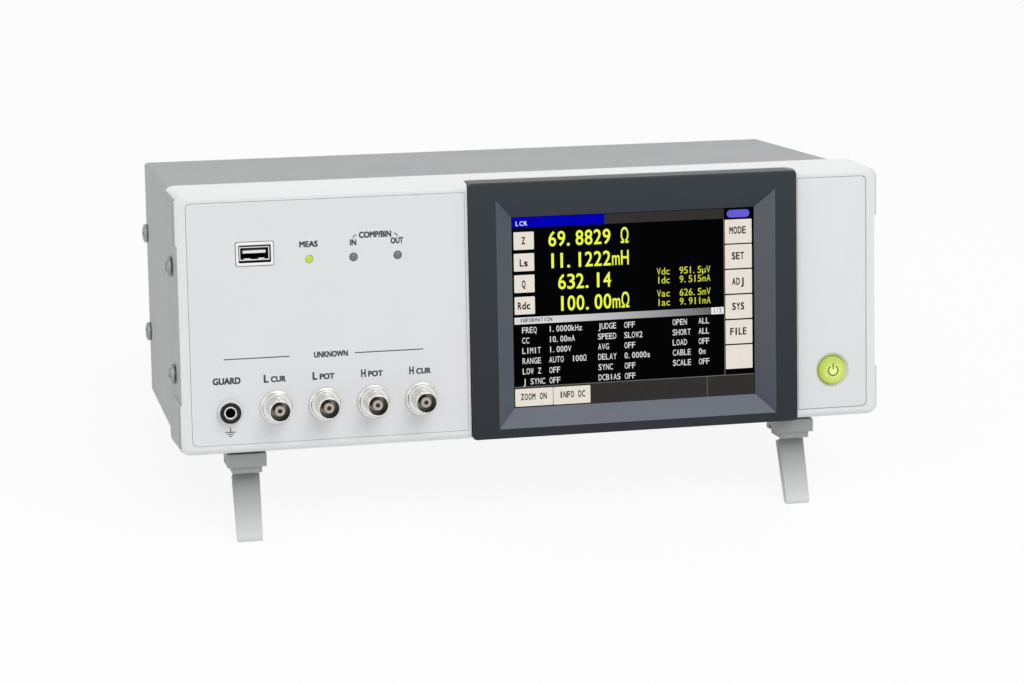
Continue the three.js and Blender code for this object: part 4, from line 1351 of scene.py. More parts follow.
@dataclass
class ScreenPicture(SubAssembly):
    """The lit measuring screen: bars, keys, readings and the table of settings."""

    setter: Typesetter = field(default_factory=Typesetter)
    surround: DisplaySurround | None = None
    lift: float = 0.06
    parallax: Pair = (0.36, -0.27)

    def place(self, across: float, up: float) -> Pair:
        """Turns a place measured from the window's lower left corner into a level one."""
        low, _ = self.surround.window()
        return (low.x + across + self.parallax[0], low.z + up + self.parallax[1])

    def plate(self, edges: tuple[float, float, float, float], layer: int, radius: float) -> Object:
        """Makes one thin flat plate of the picture.

        Args:
            edges: Left, lower, right and upper edge, from the window's lower left corner.
            layer: How many layers it lies in front of the glass.
            radius: Its corner radius.

        Returns:
            The plate, level.
        """
        front = self.stance.box("touch_panel")[0].y - self.lift * layer
        left, low = self.place(edges[0], edges[1])
        right, high = self.place(edges[2], edges[3])
        piece = rounded_block("plate", (left, front, low), (right, front + self.lift * 0.8, high),
                              radius, 4)
        return piece

    def lines(
        self, rows: Sequence[tuple[float, float, str]], pitch: float, height: float,
        weight: float, layer: int,
    ) -> list[Object]:
        """Sets lines of even letters on the screen.

        Args:
            rows: Left edge, foot line and words of each line.
            pitch: Width of a letter's cell.
            height: Cap height.
            weight: How much strokes are thickened.
            layer: How many layers they lie in front of the glass.

        Returns:
            The letters.
        """
        depth = self.stance.box("touch_panel")[0].y - self.lift * layer
        letters = []
        for left, foot, words in rows:
            letters += self.setter.even(
                words, self.place(left, foot), pitch, height, depth, weight)
        return letters

    def glow(self, name: str, colour: Rgb, parts: Sequence[Object], cloud: float = 0.03) -> Object:
        """Joins parts of one colour into a lit piece.

        Args:
            name: The piece's name.
            colour: Its colour.
            parts: The plates or letters.
            cloud: How much its light wanders.

        Returns:
            The settled piece.
        """
        finish = GlowFinish(name.replace("_", " "), colour, 0.7, cloud=cloud, cloud_size=1.2,
                            specular=0.0, base=(1, 1, 1))
        return self.settle(joined(name, parts), finish, "screen_glass")

    def information_bar(self) -> Object:
        """Builds the bar over the table, pale at its left end and grey at its right one."""
        start = self.stance.matrix @ Vector((self.place(14, 0)[0], 0, 0))
        end = self.stance.matrix @ Vector((self.place(94.2, 0)[0], 0, 0))
        finish = GradedGlow("screen information", (218, 219, 221), 0.7, cloud=0.03, cloud_size=1.2,
                            specular=0.0, base=(1, 1, 1), far_colour=(104, 104, 105),
                            direction=(1, 0, 0), start=start.x, end=end.x)
        bar = self.plate((0.6, 38.75, 94.2, 41.95), 2, 0.05)
        bar.name = "screen_information"
        return self.settle(bar, finish, "screen_glass")

    def build(self) -> list[Object]:
        """Builds the picture in layers, from its bars to its words."""
        keys = [(0.8, foot, 10.3, foot + 8.15) for foot in (73.15, 63.25, 53.35, 43.3)]
        keys += [(0.35, 0.65, 18.1, 8.8), (18.35, 0.6, 35.85, 8.75)]
        keys += [(101.15, foot, 114.15, foot + 11.15) for foot in
                 (71.5, 59.75, 47.95, 36.15, 24.3, 12.5)]
        readings = [(16.8, 74.2, "69.8829 Ω"), (16.8, 64.1, "11.1222mH"),
                    (21.07, 54.2, "632.14"), (21.07, 44.15, "100.00mΩ")]
        small = [(68.1, 58.5, "Vdc  951.5µV"), (68.1, 54.4, "Idc  9.515mA"),
                 (68.1, 48.2, "Vac  626.5mV"), (68.1, 44.0, "Iac  9.911mA")]
        feet = (34.6, 29.8, 25.05, 20.3, 15.5, 10.7)
        table = [(3.9, foot, words) for foot, words in zip(
            feet, ("FREQ   1.0000kHz", "CC     10.00mA", "LIMIT  1.000V", "RANGE  AUTO  100Ω",
                   "LOW Z  OFF", "J SYNC OFF"))]
        table += [(39.7, foot, words) for foot, words in zip(
            feet, ("JUDGE  OFF", "SPEED  SLOW2", "AVG    OFF", "DELAY  0.0000s",
                   "SYNC   OFF", "DCBIAS OFF"))]
        table += [(75.4, foot, words) for foot, words in zip(
            feet, ("OPEN   ALL", "SHORT  ALL", "LOAD   OFF", "CABLE  0m", "SCALE  OFF"))]
        on_keys = [(4.35, 75.7, "Z"), (3.3, 65.5, "Ls"), (4.15, 55.7, "Q"), (2.1, 45.7, "Rdc"),
                   (103.2, 76.0, "MODE"), (104.3, 64.0, "SET"), (104.3, 52.0, "ADJ"),
                   (104.3, 40.3, "SYS"), (103.2, 28.5, "FILE")]
        grey = [(43.6, 83.3, 100.8, 88.0), (0.3, 0.2, 91.9, 9.5), (92.2, 0.2, 115.0, 9.5)]
        rules = [(0.3, 9.5, 115.0, 9.8), (100.55, 9.8, 100.85, 83.3), (91.9, 0.2, 92.15, 9.5)]
        return [
            self.glow("screen_bars", (51, 50, 48), [self.plate(e, 1, 0.05) for e in grey], 0.08),
            self.glow("screen_rules", (112, 111, 108), [self.plate(e, 2, 0.02) for e in rules]),
            self.glow("screen_title", (3, 1, 178),
                      [self.plate((0.5, 83.25, 43.55, 88.0), 1, 0.05)], 0.12),
            self.glow("screen_badge", (104, 92, 214),
                      [self.plate((102.2, 83.6, 113.1, 87.2), 2, 1.7)]),
            self.glow("screen_keys", (231, 224, 212), [self.plate(e, 2, 0.35) for e in keys]),
            self.information_bar(),
            self.glow("screen_page", (240, 240, 240),
                      [self.plate((94.3, 38.7, 100.3, 41.9), 2, 0.05)]),
            self.glow("screen_readings", (238, 252, 70),
                      self.lines(readings, 4.27, 6.75, 0.012, 3)),
            self.glow("screen_values", (206, 214, 66), self.lines(small, 2.17, 3.2, 0.006, 3)),
            self.glow("screen_table", (222, 222, 222), self.lines(table, 1.79, 2.75, 0.008, 3)),
            self.glow("screen_key_words", (22, 20, 18),
                      self.lines(on_keys, 2.05, 3.25, 0.032, 3)
                      + self.lines([(2.85, 3.6, "ZOOM ON"), (21.1, 3.6, "INFO DC")], 1.77, 2.9,
                                   0.03, 3)
                      + self.lines([(3.0, 39.6, "INFORMATION")], 1.4, 1.8, 0.02, 3)
                      + self.lines([(94.9, 39.4, "1/2")], 1.5, 2.0, 0.01, 3)),
            self.glow("screen_title_words", (236, 236, 250), self.lines([(1.6, 84.2, "LCR")], 1.95,
                                                                        2.0, 0.01, 3)),
        ]


@dataclass
class UsbPort(SubAssembly):
    """The pale insert, plated shell and white tongue of the front port."""

    wall: float = 0.55
    spring: Triple = (3.0, 5.5, 0.5)

    def build(self) -> list[Object]:
        """Builds the insert with its mouth, the shell with two contact springs, and the tongue."""
        low, high = self.stance.box("usb_insert")
        shell_low, shell_high = self.stance.box("usb_shell")
        rim = Vector((0.4, 0, 0.8))
        insert = rounded_block("usb_surround", low, high, 0.8, 5)
        cut(insert, [rounded_block(
            "cutter", Vector((shell_low.x, low.y - 1, shell_low.z)) - rim,
            Vector((shell_high.x, high.y + 1, shell_high.z)) + rim, 0.5, 4)])
        soften(insert, 0.22, 3)
        # Painted shade inside the insert's mouth round the shell.
        accent(insert, PORT_RESIN, PAINTED_SHADE_AND_INSERT_BLACK, lambda at, n: (
            shell_low.x - 0.6 < at.x < shell_high.x + 0.6
            and shell_low.z - 1 < at.z < shell_high.z + 1 and at.y > low.y + 0.35))
        shell = block("usb_shell_folded", shell_low, shell_high)
        with shaping(shell):
            pick_faces(lambda at, normal: normal.y < -FACING)
            bpy.ops.mesh.inset(thickness=self.wall, use_even_offset=True)
            bpy.ops.mesh.extrude_region_move(
                TRANSFORM_OT_translate={"value": (0, shell_high.y - shell_low.y - 1, 0)})
        soften(shell, 0.12, 2)
        springs = []
        for side in (-1, 1):
            middle = (shell_low.x + shell_high.x) / 2 + side * 3.2
            springs.append(block(
                "spring",
                (middle - self.spring[0] / 2, shell_low.y + 0.6, shell_low.z + self.wall),
                (middle + self.spring[0] / 2, shell_low.y + 0.6 + self.spring[1],
                 shell_low.z + self.wall + self.spring[2])))
            with shaping(springs[-1]):
                pick_faces(lambda at, normal: normal.y > FACING)
                bpy.ops.transform.resize(value=(0.6, 1, 0.5), center_override=(
                    middle, shell_low.y + 6, shell_low.z + self.wall))
            soften(springs[-1], 0.12, 2)
        tongue_low, tongue_high = self.stance.box("usb_tongue")
        tongue_low = Vector((tongue_low.x, shell_low.y + 0.5, tongue_low.z))
        tongue = block("usb_tongue_moulded", tongue_low, tongue_high)
        with shaping(tongue):
            pick_faces(lambda at, normal: normal.y < -FACING)
            bpy.ops.transform.resize(value=(0.94, 1, 0.7),
                                     center_override=((tongue_low + tongue_high) / 2))
        soften(tongue, 0.15, 2)
        # Painted shade on the shell's inner walls.
        accent(shell, NICKEL, PAINTED_SHADE_AND_INSERT_BLACK, lambda at, n: (
            at.y > shell_low.y + 0.3 and shell_low.x + 0.3 < at.x < shell_high.x - 0.3
            and shell_low.z + 0.3 < at.z < shell_high.z - 0.3))
        for spring in springs:
            spring.data.materials.append(NICKEL.material())
        port = joined("usb_shell_folded", [shell, *springs])
        return [
            self.settle(insert, PORT_RESIN, "white_resin", ["usb_insert"]),
            self.settle(port, NICKEL, "nickel", ["usb_shell"]),
            self.settle(tongue, PORT_RESIN, "white_resin", ["usb_tongue"]),
        ]


@dataclass
class IndicatorLamps(SubAssembly):
    """The three small round lamps, the first of them lit."""

    def build(self) -> list[Object]:
        """Turns each lamp with a domed lens."""
        pieces = []
        for name in LAMPS:
            low, high = self.stance.box(f"led_{name}")
            radius = (high.x - low.x) / 2
            lamp = turned(f"lamp_{name}", self.stance.middle(f"led_{name}"), [
                (radius * 0.15, low.y), (radius * 0.4, low.y + 0.03),
                (radius * 0.65, low.y + 0.12), (radius * 0.85, low.y + 0.25),
                (radius * 0.96, low.y + 0.4), (radius, low.y + 0.6),
                (radius, high.y - 0.2), (radius * 0.9, high.y)], SMALL_TURN)
            even_shade(lamp)
            lit = name == "meas"
            finish, slot = (LIT_LIME, "lime_resin") if lit else (GREY_LENS, "grey_lens")
            pieces.append(self.settle(lamp, finish, slot, [f"led_{name}"]))
        return pieces


@dataclass
class CoaxialJacks(SubAssembly):
    """Four plated bayonet jacks with beige insulators."""

    flange: float = 2.2
    barrel: float = 4.8
    bore: float = 4.05
    bore_depth: float = 8.8
    thread: float = 4.6
    panel_gap: float = 0.3
    lug: float = 1.0
    lug_reach: float = 0.8
    lug_back: float = 3.2

    def shell(self, name: str) -> Object:
        """Turns one shell, from the floor of its bore round to its threaded tail.

        Args:
            name: Which jack.

        Returns:
            The shell with its two lugs, level.
        """
        low, high = self.stance.box(f"jack_shell_{name}")
        middle = self.stance.middle(f"jack_shell_{name}")
        nut = (high.x - low.x) / 2
        rim, floor = low.y, low.y + self.bore_depth
        front = -self.panel_gap - self.flange
        piece = turned(f"jack_{name}", middle, [
            (self.bore * 0.98, floor), (self.bore, floor - 0.05), (self.bore, rim + 1.2),
            (self.bore + 0.15, rim + 1.0), (self.bore + 0.2, rim + 0.3),
            (self.bore + 0.35, rim + 0.05),
            (self.barrel - 0.25, rim), (self.barrel - 0.05, rim + 0.12), (self.barrel, rim + 0.35),
            (self.barrel, rim + 4.6), (self.barrel - 0.35, rim + 4.9),
            (self.barrel - 0.35, rim + 5.6),
            (self.barrel, rim + 5.9), (self.barrel, front - 0.75),
            (self.barrel - 0.3, front - 0.6), (self.barrel - 0.3, front - 0.1),
            (self.barrel - 0.2, front), (nut - 1.35, front), (nut - 1.1, front + 0.1),
            (nut - 1.0, front + 0.3), (nut - 1.0, front + 1.15), (nut - 0.35, front + 1.15),
            (nut - 0.1, front + 1.25), (nut, front + 1.45),
            (nut, -self.panel_gap - 0.05), (nut - 0.05, -self.panel_gap),
            (self.thread + 0.05, -self.panel_gap), (self.thread, -self.panel_gap + 0.05),
            (self.thread, high.y - 0.4), (self.thread - 0.4, high.y)], 72)
        even_shade(piece)
        # Painted shade on the plating: the bore, the groove at the barrel's foot and the nut's
        # inner wall.
        accent(piece, NICKEL, SHADED_NICKEL, lambda at, n: (
            math.hypot(at.x - middle[0], at.z - middle[1]) < self.bore + 0.22
            or front - 0.62 < at.y < front - 0.02
            and math.hypot(at.x - middle[0], at.z - middle[1]) < self.barrel
            or front + 0.3 < at.y < front + 1.15
            and math.hypot(at.x - middle[0], at.z - middle[1]) < nut - 0.95))
        lugs = []
        for side in (-1, 1):
            deselect()
            reach = self.barrel + self.lug_reach
            inner = self.bore + 0.35
            bpy.ops.mesh.primitive_cylinder_add(
                vertices=28, radius=self.lug, depth=reach - inner,
                location=(middle[0], rim + self.lug_back, middle[1] + side * (reach + inner) / 2))
            lug = bpy.context.object
            bpy.ops.object.transform_apply(location=True, rotation=True, scale=True)
            soften(lug, 0.18, 3)
            lugs.append(lug)
        return joined(f"jack_{name}", [piece, *lugs])

    def core(self, name: str) -> Object:
        """Turns one insulator with the dark bore of its contact."""
        low, high = self.stance.box(f"jack_core_{name}")
        radius = (high.x - low.x) / 2
        return turned(f"insulator_{name}", self.stance.middle(f"jack_core_{name}"), [
            (0.5, low.y + 4.4), (0.78, low.y + 4.0), (0.8, low.y + 0.25), (1.0, low.y),
            (radius - 0.3, low.y), (radius - 0.05, low.y + 0.15), (radius, low.y + 0.4),
            (radius, high.y)], MIDDLE_TURN)

    def contact(self, name: str) -> Object:
        """Turns the small socket contact inside an insulator."""
        low, _ = self.stance.box(f"jack_core_{name}")
        return turned(f"contact_{name}", self.stance.middle(f"jack_core_{name}"), [
            (0.3, low.y + 3.2), (0.36, low.y + 3.0), (0.38, low.y + 0.9), (0.5, low.y + 0.75),
            (0.6, low.y + 0.9), (0.6, low.y + 3.9)], 28)

    def build(self) -> list[Object]:
        """Builds all four jacks."""
        pieces = []
        for name in JACKS:
            shell = self.shell(name)
            core = self.core(name)
            even_shade(core)
            middle = self.stance.middle(f"jack_core_{name}")
            # Painted shade in the insulator's contact hole.
            accent(core, BEIGE_RESIN, PAINTED_SHADE_AND_INSERT_BLACK, lambda at, n: (
                math.hypot(at.x - middle[0], at.z - middle[1]) < 0.98))
            contact = self.contact(name)
            even_shade(contact)
            pieces += [
                self.settle(shell, NICKEL, "nickel", [f"jack_shell_{name}"]),
                self.settle(core, BEIGE_RESIN, "white_resin", [f"jack_core_{name}"]),
                # The contact sits deep in its insulator and takes the nickel with painted shade.
                self.settle(contact, SHADED_NICKEL, "nickel"),
            ]
        return pieces


@dataclass
class GuardSocket(SubAssembly):
    """The insulated guard socket left of the jacks."""

    body_radius: float = 4.9
    sleeve_gap: float = 0.3
    panel_gap: float = 0.3
    collar: float = 0.9
    tail: float = 3.9
    lining_bore: float = 2.05

    def build(self) -> list[Object]:
        """Turns the pale body, its black mouth ring and the plated sleeve inside."""
        middle = self.stance.middle("guard_socket")
        low, high = self.stance.box("guard_socket")
        sleeve_low, sleeve_high = self.stance.box("guard_sleeve")
        collar = (high.x - low.x) / 2
        sleeve = (sleeve_high.x - sleeve_low.x) / 2
        inner = sleeve + self.sleeve_gap
        ring = self.body_radius - 0.15
        collar_front = -self.panel_gap - self.collar
        body = turned("guard_body", middle, [
            (self.tail, high.y), (self.tail, -self.panel_gap), (collar - 0.1, -self.panel_gap),
            (collar, -self.panel_gap - 0.1), (collar, collar_front + 0.25),
            (collar - 0.25, collar_front), (self.body_radius, collar_front),
            (self.body_radius, low.y + 0.3), (self.body_radius - 0.1, low.y + 0.08),
            (ring + 0.12, low.y + 0.02), (ring, low.y + 0.1), (ring, low.y + 0.55)], WIDE_TURN)
        cut(body, [turned(
            "cutter", middle, [(inner, low.y - 1), (inner, high.y + 1)], MIDDLE_TURN)])
        soften(body, 0.06, 2, 45)
        mouth = turned("guard_mouth", middle, [
            (ring - 0.05, low.y + 0.5), (ring - 0.05, low.y + 0.08), (ring - 0.2, low.y - 0.04),
            (ring - 0.6, low.y - 0.08)], WIDE_TURN)
        cut(mouth, [turned("cutter", middle, [
            (inner + 0.3, low.y - 1), (inner + 0.22, low.y - 0.12), (inner, low.y + 0.15),
            (inner, low.y + 2)], WIDE_TURN)])
        crisp_shade(mouth, 35)
        bore = self.lining_bore
        lining = turned("guard_lining", middle, [
            (bore, sleeve_high.y - 2), (bore, sleeve_low.y + 0.4),
            (bore + 0.15, sleeve_low.y + 0.1), (bore + 0.35, sleeve_low.y),
            (sleeve - 0.15, sleeve_low.y), (sleeve, sleeve_low.y + 0.15),
            (sleeve, sleeve_high.y)], MIDDLE_TURN)
        even_shade(lining)
        # Painted shade down the sleeve's bore.
        accent(lining, NICKEL, PAINTED_SHADE_AND_INSERT_BLACK, lambda at, n: (
            math.hypot(at.x - middle[0], at.z - middle[1]) < bore + 0.02
            and at.y > sleeve_low.y + 0.35))
        return [
            self.settle(body, GUARD_RESIN, "white_resin", ["guard_socket"]),
            self.settle(mouth, MOUTH_RESIN, "black_resin"),
            self.settle(lining, NICKEL, "nickel", ["guard_sleeve"]),
        ]


@dataclass
class PowerButton(SubAssembly):
    """The lit round button with its power sign."""

    body: str = "power_button"
    flange: float = 1.4
    flange_thick: float = 1.2
    sign_radius: float = 2.35
    sign_line: float = 0.55

    def build(self) -> list[Object]:
        """Turns the button and lays its sign on the crown."""
        low, high = self.stance.box("power_button")
        middle = self.stance.middle("power_button")
        outer = (high.x - low.x) / 2
        radius = outer - self.flange
        seat = high.y - self.flange_thick
        button = turned("power_cap", middle, [
            (0.6, low.y), (3.0, low.y + 0.03), (4.6, low.y + 0.12), (radius - 0.9, low.y + 0.28),
            (radius - 0.4, low.y + 0.48), (radius - 0.1, low.y + 0.85), (radius, low.y + 1.3),
            (radius, seat), (outer, seat), (outer, high.y), (outer - 0.5, high.y)], FULL_TURN)
        even_shade(button)
        centre = self.stance.matrix @ Vector((middle[0] + 0.4, low.y, middle[1] - 0.4))
        lit = LampFinish("lit button", (243, 250, 176), 0.34, strength=0.6, base=(160, 176, 78),
                         middle=tuple(centre), radius=radius * MM * 1.05,
                         rim_colour=(128, 146, 40))
        x, z = middle[0], middle[1]
        depth = low.y - 0.03
        ring = strip(arc((x, z), self.sign_radius, 122, 418, 28), self.sign_line, depth)
        bar = strip([(x, z + 0.5), (x, z + 1.8), (x, z + 3.3)], self.sign_line, depth)
        ink = Finish("button ink", (66, 76, 22), 0.6, cloud=0.08, cloud_size=1)
        return [
            self.settle(button, lit, "lime_resin", ["power_button"]),
            self.settle(joined("power_sign", [ring, bar]), ink, "lime_resin"),
        ]


@dataclass
class TopCover(SubAssembly):
    """The folded steel cover over the top and both sides."""

    sheet: float = 1.2
    bend: float = 1.8
    shank_radius: float = 1.9
    gap: float = 0.3

    def build(self) -> list[Object]:
        """Folds the cover from an open box, thickens it and bores its rear screw holes."""
        low, high = self.stance.box("top_cover")
        piece = block("cover_folded", low, high)
        with shaping(piece, Element.EDGE):
            pick_edges(lambda a, b: abs(a.y - b.y) > 1 and min(a.z, b.z) > high.z - CLOSE)
            bpy.ops.mesh.bevel(offset=self.bend, segments=7, affect="EDGES")
        with shaping(piece):
            pick_faces(lambda at, normal: abs(normal.y) > FACING or normal.z < -FACING)
            bpy.ops.mesh.delete(type="FACE")
        take(piece)
        wall = piece.modifiers.new("wall", "SOLIDIFY")
        wall.thickness = self.sheet
        wall.offset = -1
        bpy.ops.object.modifier_apply(modifier=wall.name)
        holes = []
        for side in ("left", "right"):
            for level in ("lower", "upper"):
                screw_low, screw_high = self.stance.box(f"cover_screw_{side}_rear_{level}")
                holes.append(side_peg("cutter", tuple((screw_low + screw_high) / 2),
                                      self.shank_radius + self.gap, 20))
        cut(piece, holes)
        soften(piece, 0.2, 2, 40)
        return [self.settle(piece, COVER_PAINT, "cover_paint", ["top_cover"])]


@dataclass
class Screws(SubAssembly):
    """Pan-head screws with crossed recesses, one modelled and the rest copied."""

    head_radius: float = 4.6
    head_height: float = 2.2
    shank_radius: float = 1.9
    recess: float = 2.8
    recess_width: float = 1.25
    recess_depth: float = 1.3

    def pattern(self, length: float) -> Object:
        """Models one screw whose head faces the front, seated at the origin.

        Args:
            length: From under the head to the tip.

        Returns:
            The screw, level, with its head's underside at y 0.
        """
        top = -self.head_height
        radius = self.head_radius
        screw = turned("screw", (0, 0), [
            (radius * 0.2, top), (radius * 0.5, top + 0.08), (radius * 0.75, top + 0.3),
            (radius * 0.9, top + 0.65), (radius * 0.98, top + 1.15), (radius, top + 1.6),
            (radius, -0.15), (radius - 0.15, 0), (self.shank_radius, 0),
            (self.shank_radius, length - 0.5), (self.shank_radius - 0.5, length)], MIDDLE_TURN)
        half, reach = self.recess_width / 2, self.recess
        cross = [block("cutter", (-reach, top - 1, -half), (reach, top + self.recess_depth, half)),
                 block("cutter", (-half, top - 1, -reach), (half, top + self.recess_depth, reach))]
        cut(screw, cross)
        soften(screw, 0.1, 2, 42)
        # Painted shade in the crossed recess.
        accent(screw, SCREW_STEEL, PAINTED_SHADE_AND_INSERT_BLACK, lambda at, n: (
            top + 0.12 < at.y < top + self.recess_depth + 0.1
            and max(abs(at.x), abs(at.z)) < reach + 0.05
            and min(abs(at.x), abs(at.z)) < half + 0.05))
        return screw

    def build(self) -> list[Object]:
        """Copies the screw to each of the cover's eight places."""
        master = self.pattern(9.5)
        pieces = []
        for side, turn in (("left", 90), ("right", -90)):
            for row in ("front", "rear"):
                for level in ("lower", "upper"):
                    node = f"cover_screw_{side}_{row}_{level}"
                    low, high = self.stance.box(node)
                    middle = (low + high) / 2
                    seat = (low.x + self.head_height if side == "left"
                            else high.x - self.head_height)
                    spin = 20 * (1 + len(pieces) % 4)
                    move = (Matrix.Translation((seat, middle.y, middle.z))
                            @ Matrix.Rotation(math.radians(-turn), 4, "Z")
                            @ Matrix.Rotation(math.radians(spin), 4, "Y"))
                    screw = copied(master, f"screw_{side}_{row}_{level}", move)
                    pieces.append(self.settle(screw, SCREW_STEEL, "plain_steel", [node]))
        bpy.data.objects.remove(master)
        return pieces


@dataclass
class RearConnector(SubAssembly):
    """The wide rear connector: a plated shell round a dark insert with two rows of sockets."""

    shell: Pair = (57.0, 10.6)
    corner: float = 2.5
    seat: float = 7.5
    wall: float = 0.6
    recess: float = 0.9
    row_counts: tuple[int, int] = (18, 19)
    pitch: float = 2.77
    row_gap: float = 2.84
    socket: Pair = (0.5, 0.26)

    def sockets(self, middle: Pair, face: float) -> list[Object]:
        """Turns one small contact and copies it along both rows.

        Args:
            middle: X and z of the connector's middle.
            face: Y of the insert's face.

        Returns:
            The contacts.
        """
        outer, bore = self.socket
        master = turned("contact", middle, [
            (bore, face - 0.1), (bore, face + 0.25),
            (outer, face + 0.25), (outer, face - 0.3)], 12)
        even_shade(master)
        master.data.materials.append(NICKEL.material())
        contacts = []
        for row, count in enumerate(self.row_counts):
            for place in range(count):
                move = Vector(((place - (count - 1) / 2) * self.pitch, 0,
                               (row - 0.5) * self.row_gap))
                contacts.append(copied(master, "contact", Matrix.Translation(move)))
        bpy.data.objects.remove(master)
        return contacts

    def build(self) -> list[Object]:
        """Builds the seat behind the panel, the hollow shell and the contacts, as one piece."""
        low, high = self.stance.box("io_connector")
        x, z = self.stance.middle("io_connector")
        half_width, half_height = self.shell[0] / 2, self.shell[1] / 2
        seat = block("connector_seat", low, (high.x, low.y + self.seat, high.z))
        soften(seat, 0.3)
        seat.data.materials.append(NICKEL.material())
        shell = rounded_block(
            "rear_connector", (x - half_width, low.y + self.seat - 1, z - half_height),
            (x + half_width, high.y, z + half_height), self.corner)
        with shaping(shell):
            pick_faces(lambda at, normal: normal.y > FACING)
            bpy.ops.mesh.inset(thickness=self.wall, use_even_offset=True)
            bpy.ops.mesh.extrude_region_move(
                TRANSFORM_OT_translate={"value": (0, -self.recess, 0)})
        soften(shell, 0.15)
        face = high.y - self.recess
        # The insert's face is near-black, its own colour.
        accent(shell, NICKEL, PAINTED_SHADE_AND_INSERT_BLACK, lambda at, n: n.y > FACING and at.y < face + 0.1)
        piece = joined("rear_connector", [shell, seat, *self.sockets((x, z), face)])
        return [self.settle(piece, NICKEL, "nickel", ["io_connector"])]


@dataclass
class RefinedNodes(SubAssembly):
    """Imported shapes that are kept, as merged copies with softened edges."""

    nodes: Sequence[tuple[str, float]] = ()
    # Share of a leg's height, from its top, held in painted shadow before it starts to pale.
    painted_shadow_share: float = 0.36

    def finish_of(self, node: str, slot: str) -> Finish:
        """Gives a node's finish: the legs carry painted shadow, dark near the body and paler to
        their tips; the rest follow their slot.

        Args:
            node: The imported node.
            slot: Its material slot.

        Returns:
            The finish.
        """
        if node not in ("leg_left", "leg_right"):
            return SLOT_FINISHES[slot]
        low, high = self.stance.box(node)
        # Painted shadow on the legs: dark where the body shades them, paler towards the tips.
        down = self.stance.turn @ Vector((0, 0, -1))
        return GradedFinish(
            "leg resin with painted shadow", (144, 146, 146), 0.5, cloud=0.02, cloud_size=14,
            far_colour=(217, 218, 218), direction=tuple(down),
            start=down.dot(self.stance.matrix @ high) + self.painted_shadow_share * (high.z - low.z) * MM,
            end=down.dot(self.stance.matrix @ low))

    def refine(self, node: str, width: float) -> Object:
        """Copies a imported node, merges its loose triangles and rounds its edges.

        Args:
            node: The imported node.
            width: Width of the rounding, in millimetres.

        Returns:
            The finished copy.
        """
        source = frame["nodes"][node]
        piece = source.copy()
        piece.data = source.data.copy()
        piece.name = f"{node}_finished"
        piece.parent = None
        for key in list(piece.keys()):
            del piece[key]
        bpy.context.scene.collection.objects.link(piece)
        slot = source.data.materials[0].name.split(".")[0]
        piece.data.materials.clear()
        with shaping(piece):
            bpy.ops.mesh.select_all(action="SELECT")
            bpy.ops.mesh.remove_doubles(threshold=0.00001)
            bpy.ops.mesh.dissolve_limited(angle_limit=math.radians(1))
        take(piece)
        if piece.data.has_custom_normals:
            bpy.ops.mesh.customdata_custom_splitnormals_clear()
        soften(piece, width * MM, 3, 35)
        piece.data.materials.append(self.finish_of(node, slot).material())
        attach(piece, body_of(source)[0])
        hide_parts(node)
        return piece

    def build(self) -> list[Object]:
        """Refines every listed node."""
        return [self.refine(node, width) for node, width in self.nodes]


@dataclass
class CarriedNodes(SubAssembly):
    """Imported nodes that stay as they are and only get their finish."""

    def build(self) -> list[Object]:
        """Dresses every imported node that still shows, by its material slot."""
        dressed = []
        for node in frame["nodes"].values():
            if node.hide_render:
                continue
            slot = node.data.materials[0].name.split(".")[0]
            node.data.materials[0] = SLOT_FINISHES[slot].material()
            dressed.append(node)
        return dressed


REFINED = (
    ("leg_left", 0.6), ("leg_right", 0.6), ("leg_pad_left", 0.5), ("leg_pad_right", 0.5),
    ("rear_foot_left", 0.6), ("rear_foot_right", 0.6), ("chassis_tray", 0.2),
    ("rear_panel", 0.2), ("mains_inlet", 0.3), ("mains_switch", 0.3), ("mains_rocker", 0.4),
    ("device_port", 0.15), ("blank_plate", 0.25),
    ("blank_screw_left", 0.25), ("blank_screw_right", 0.25),
)


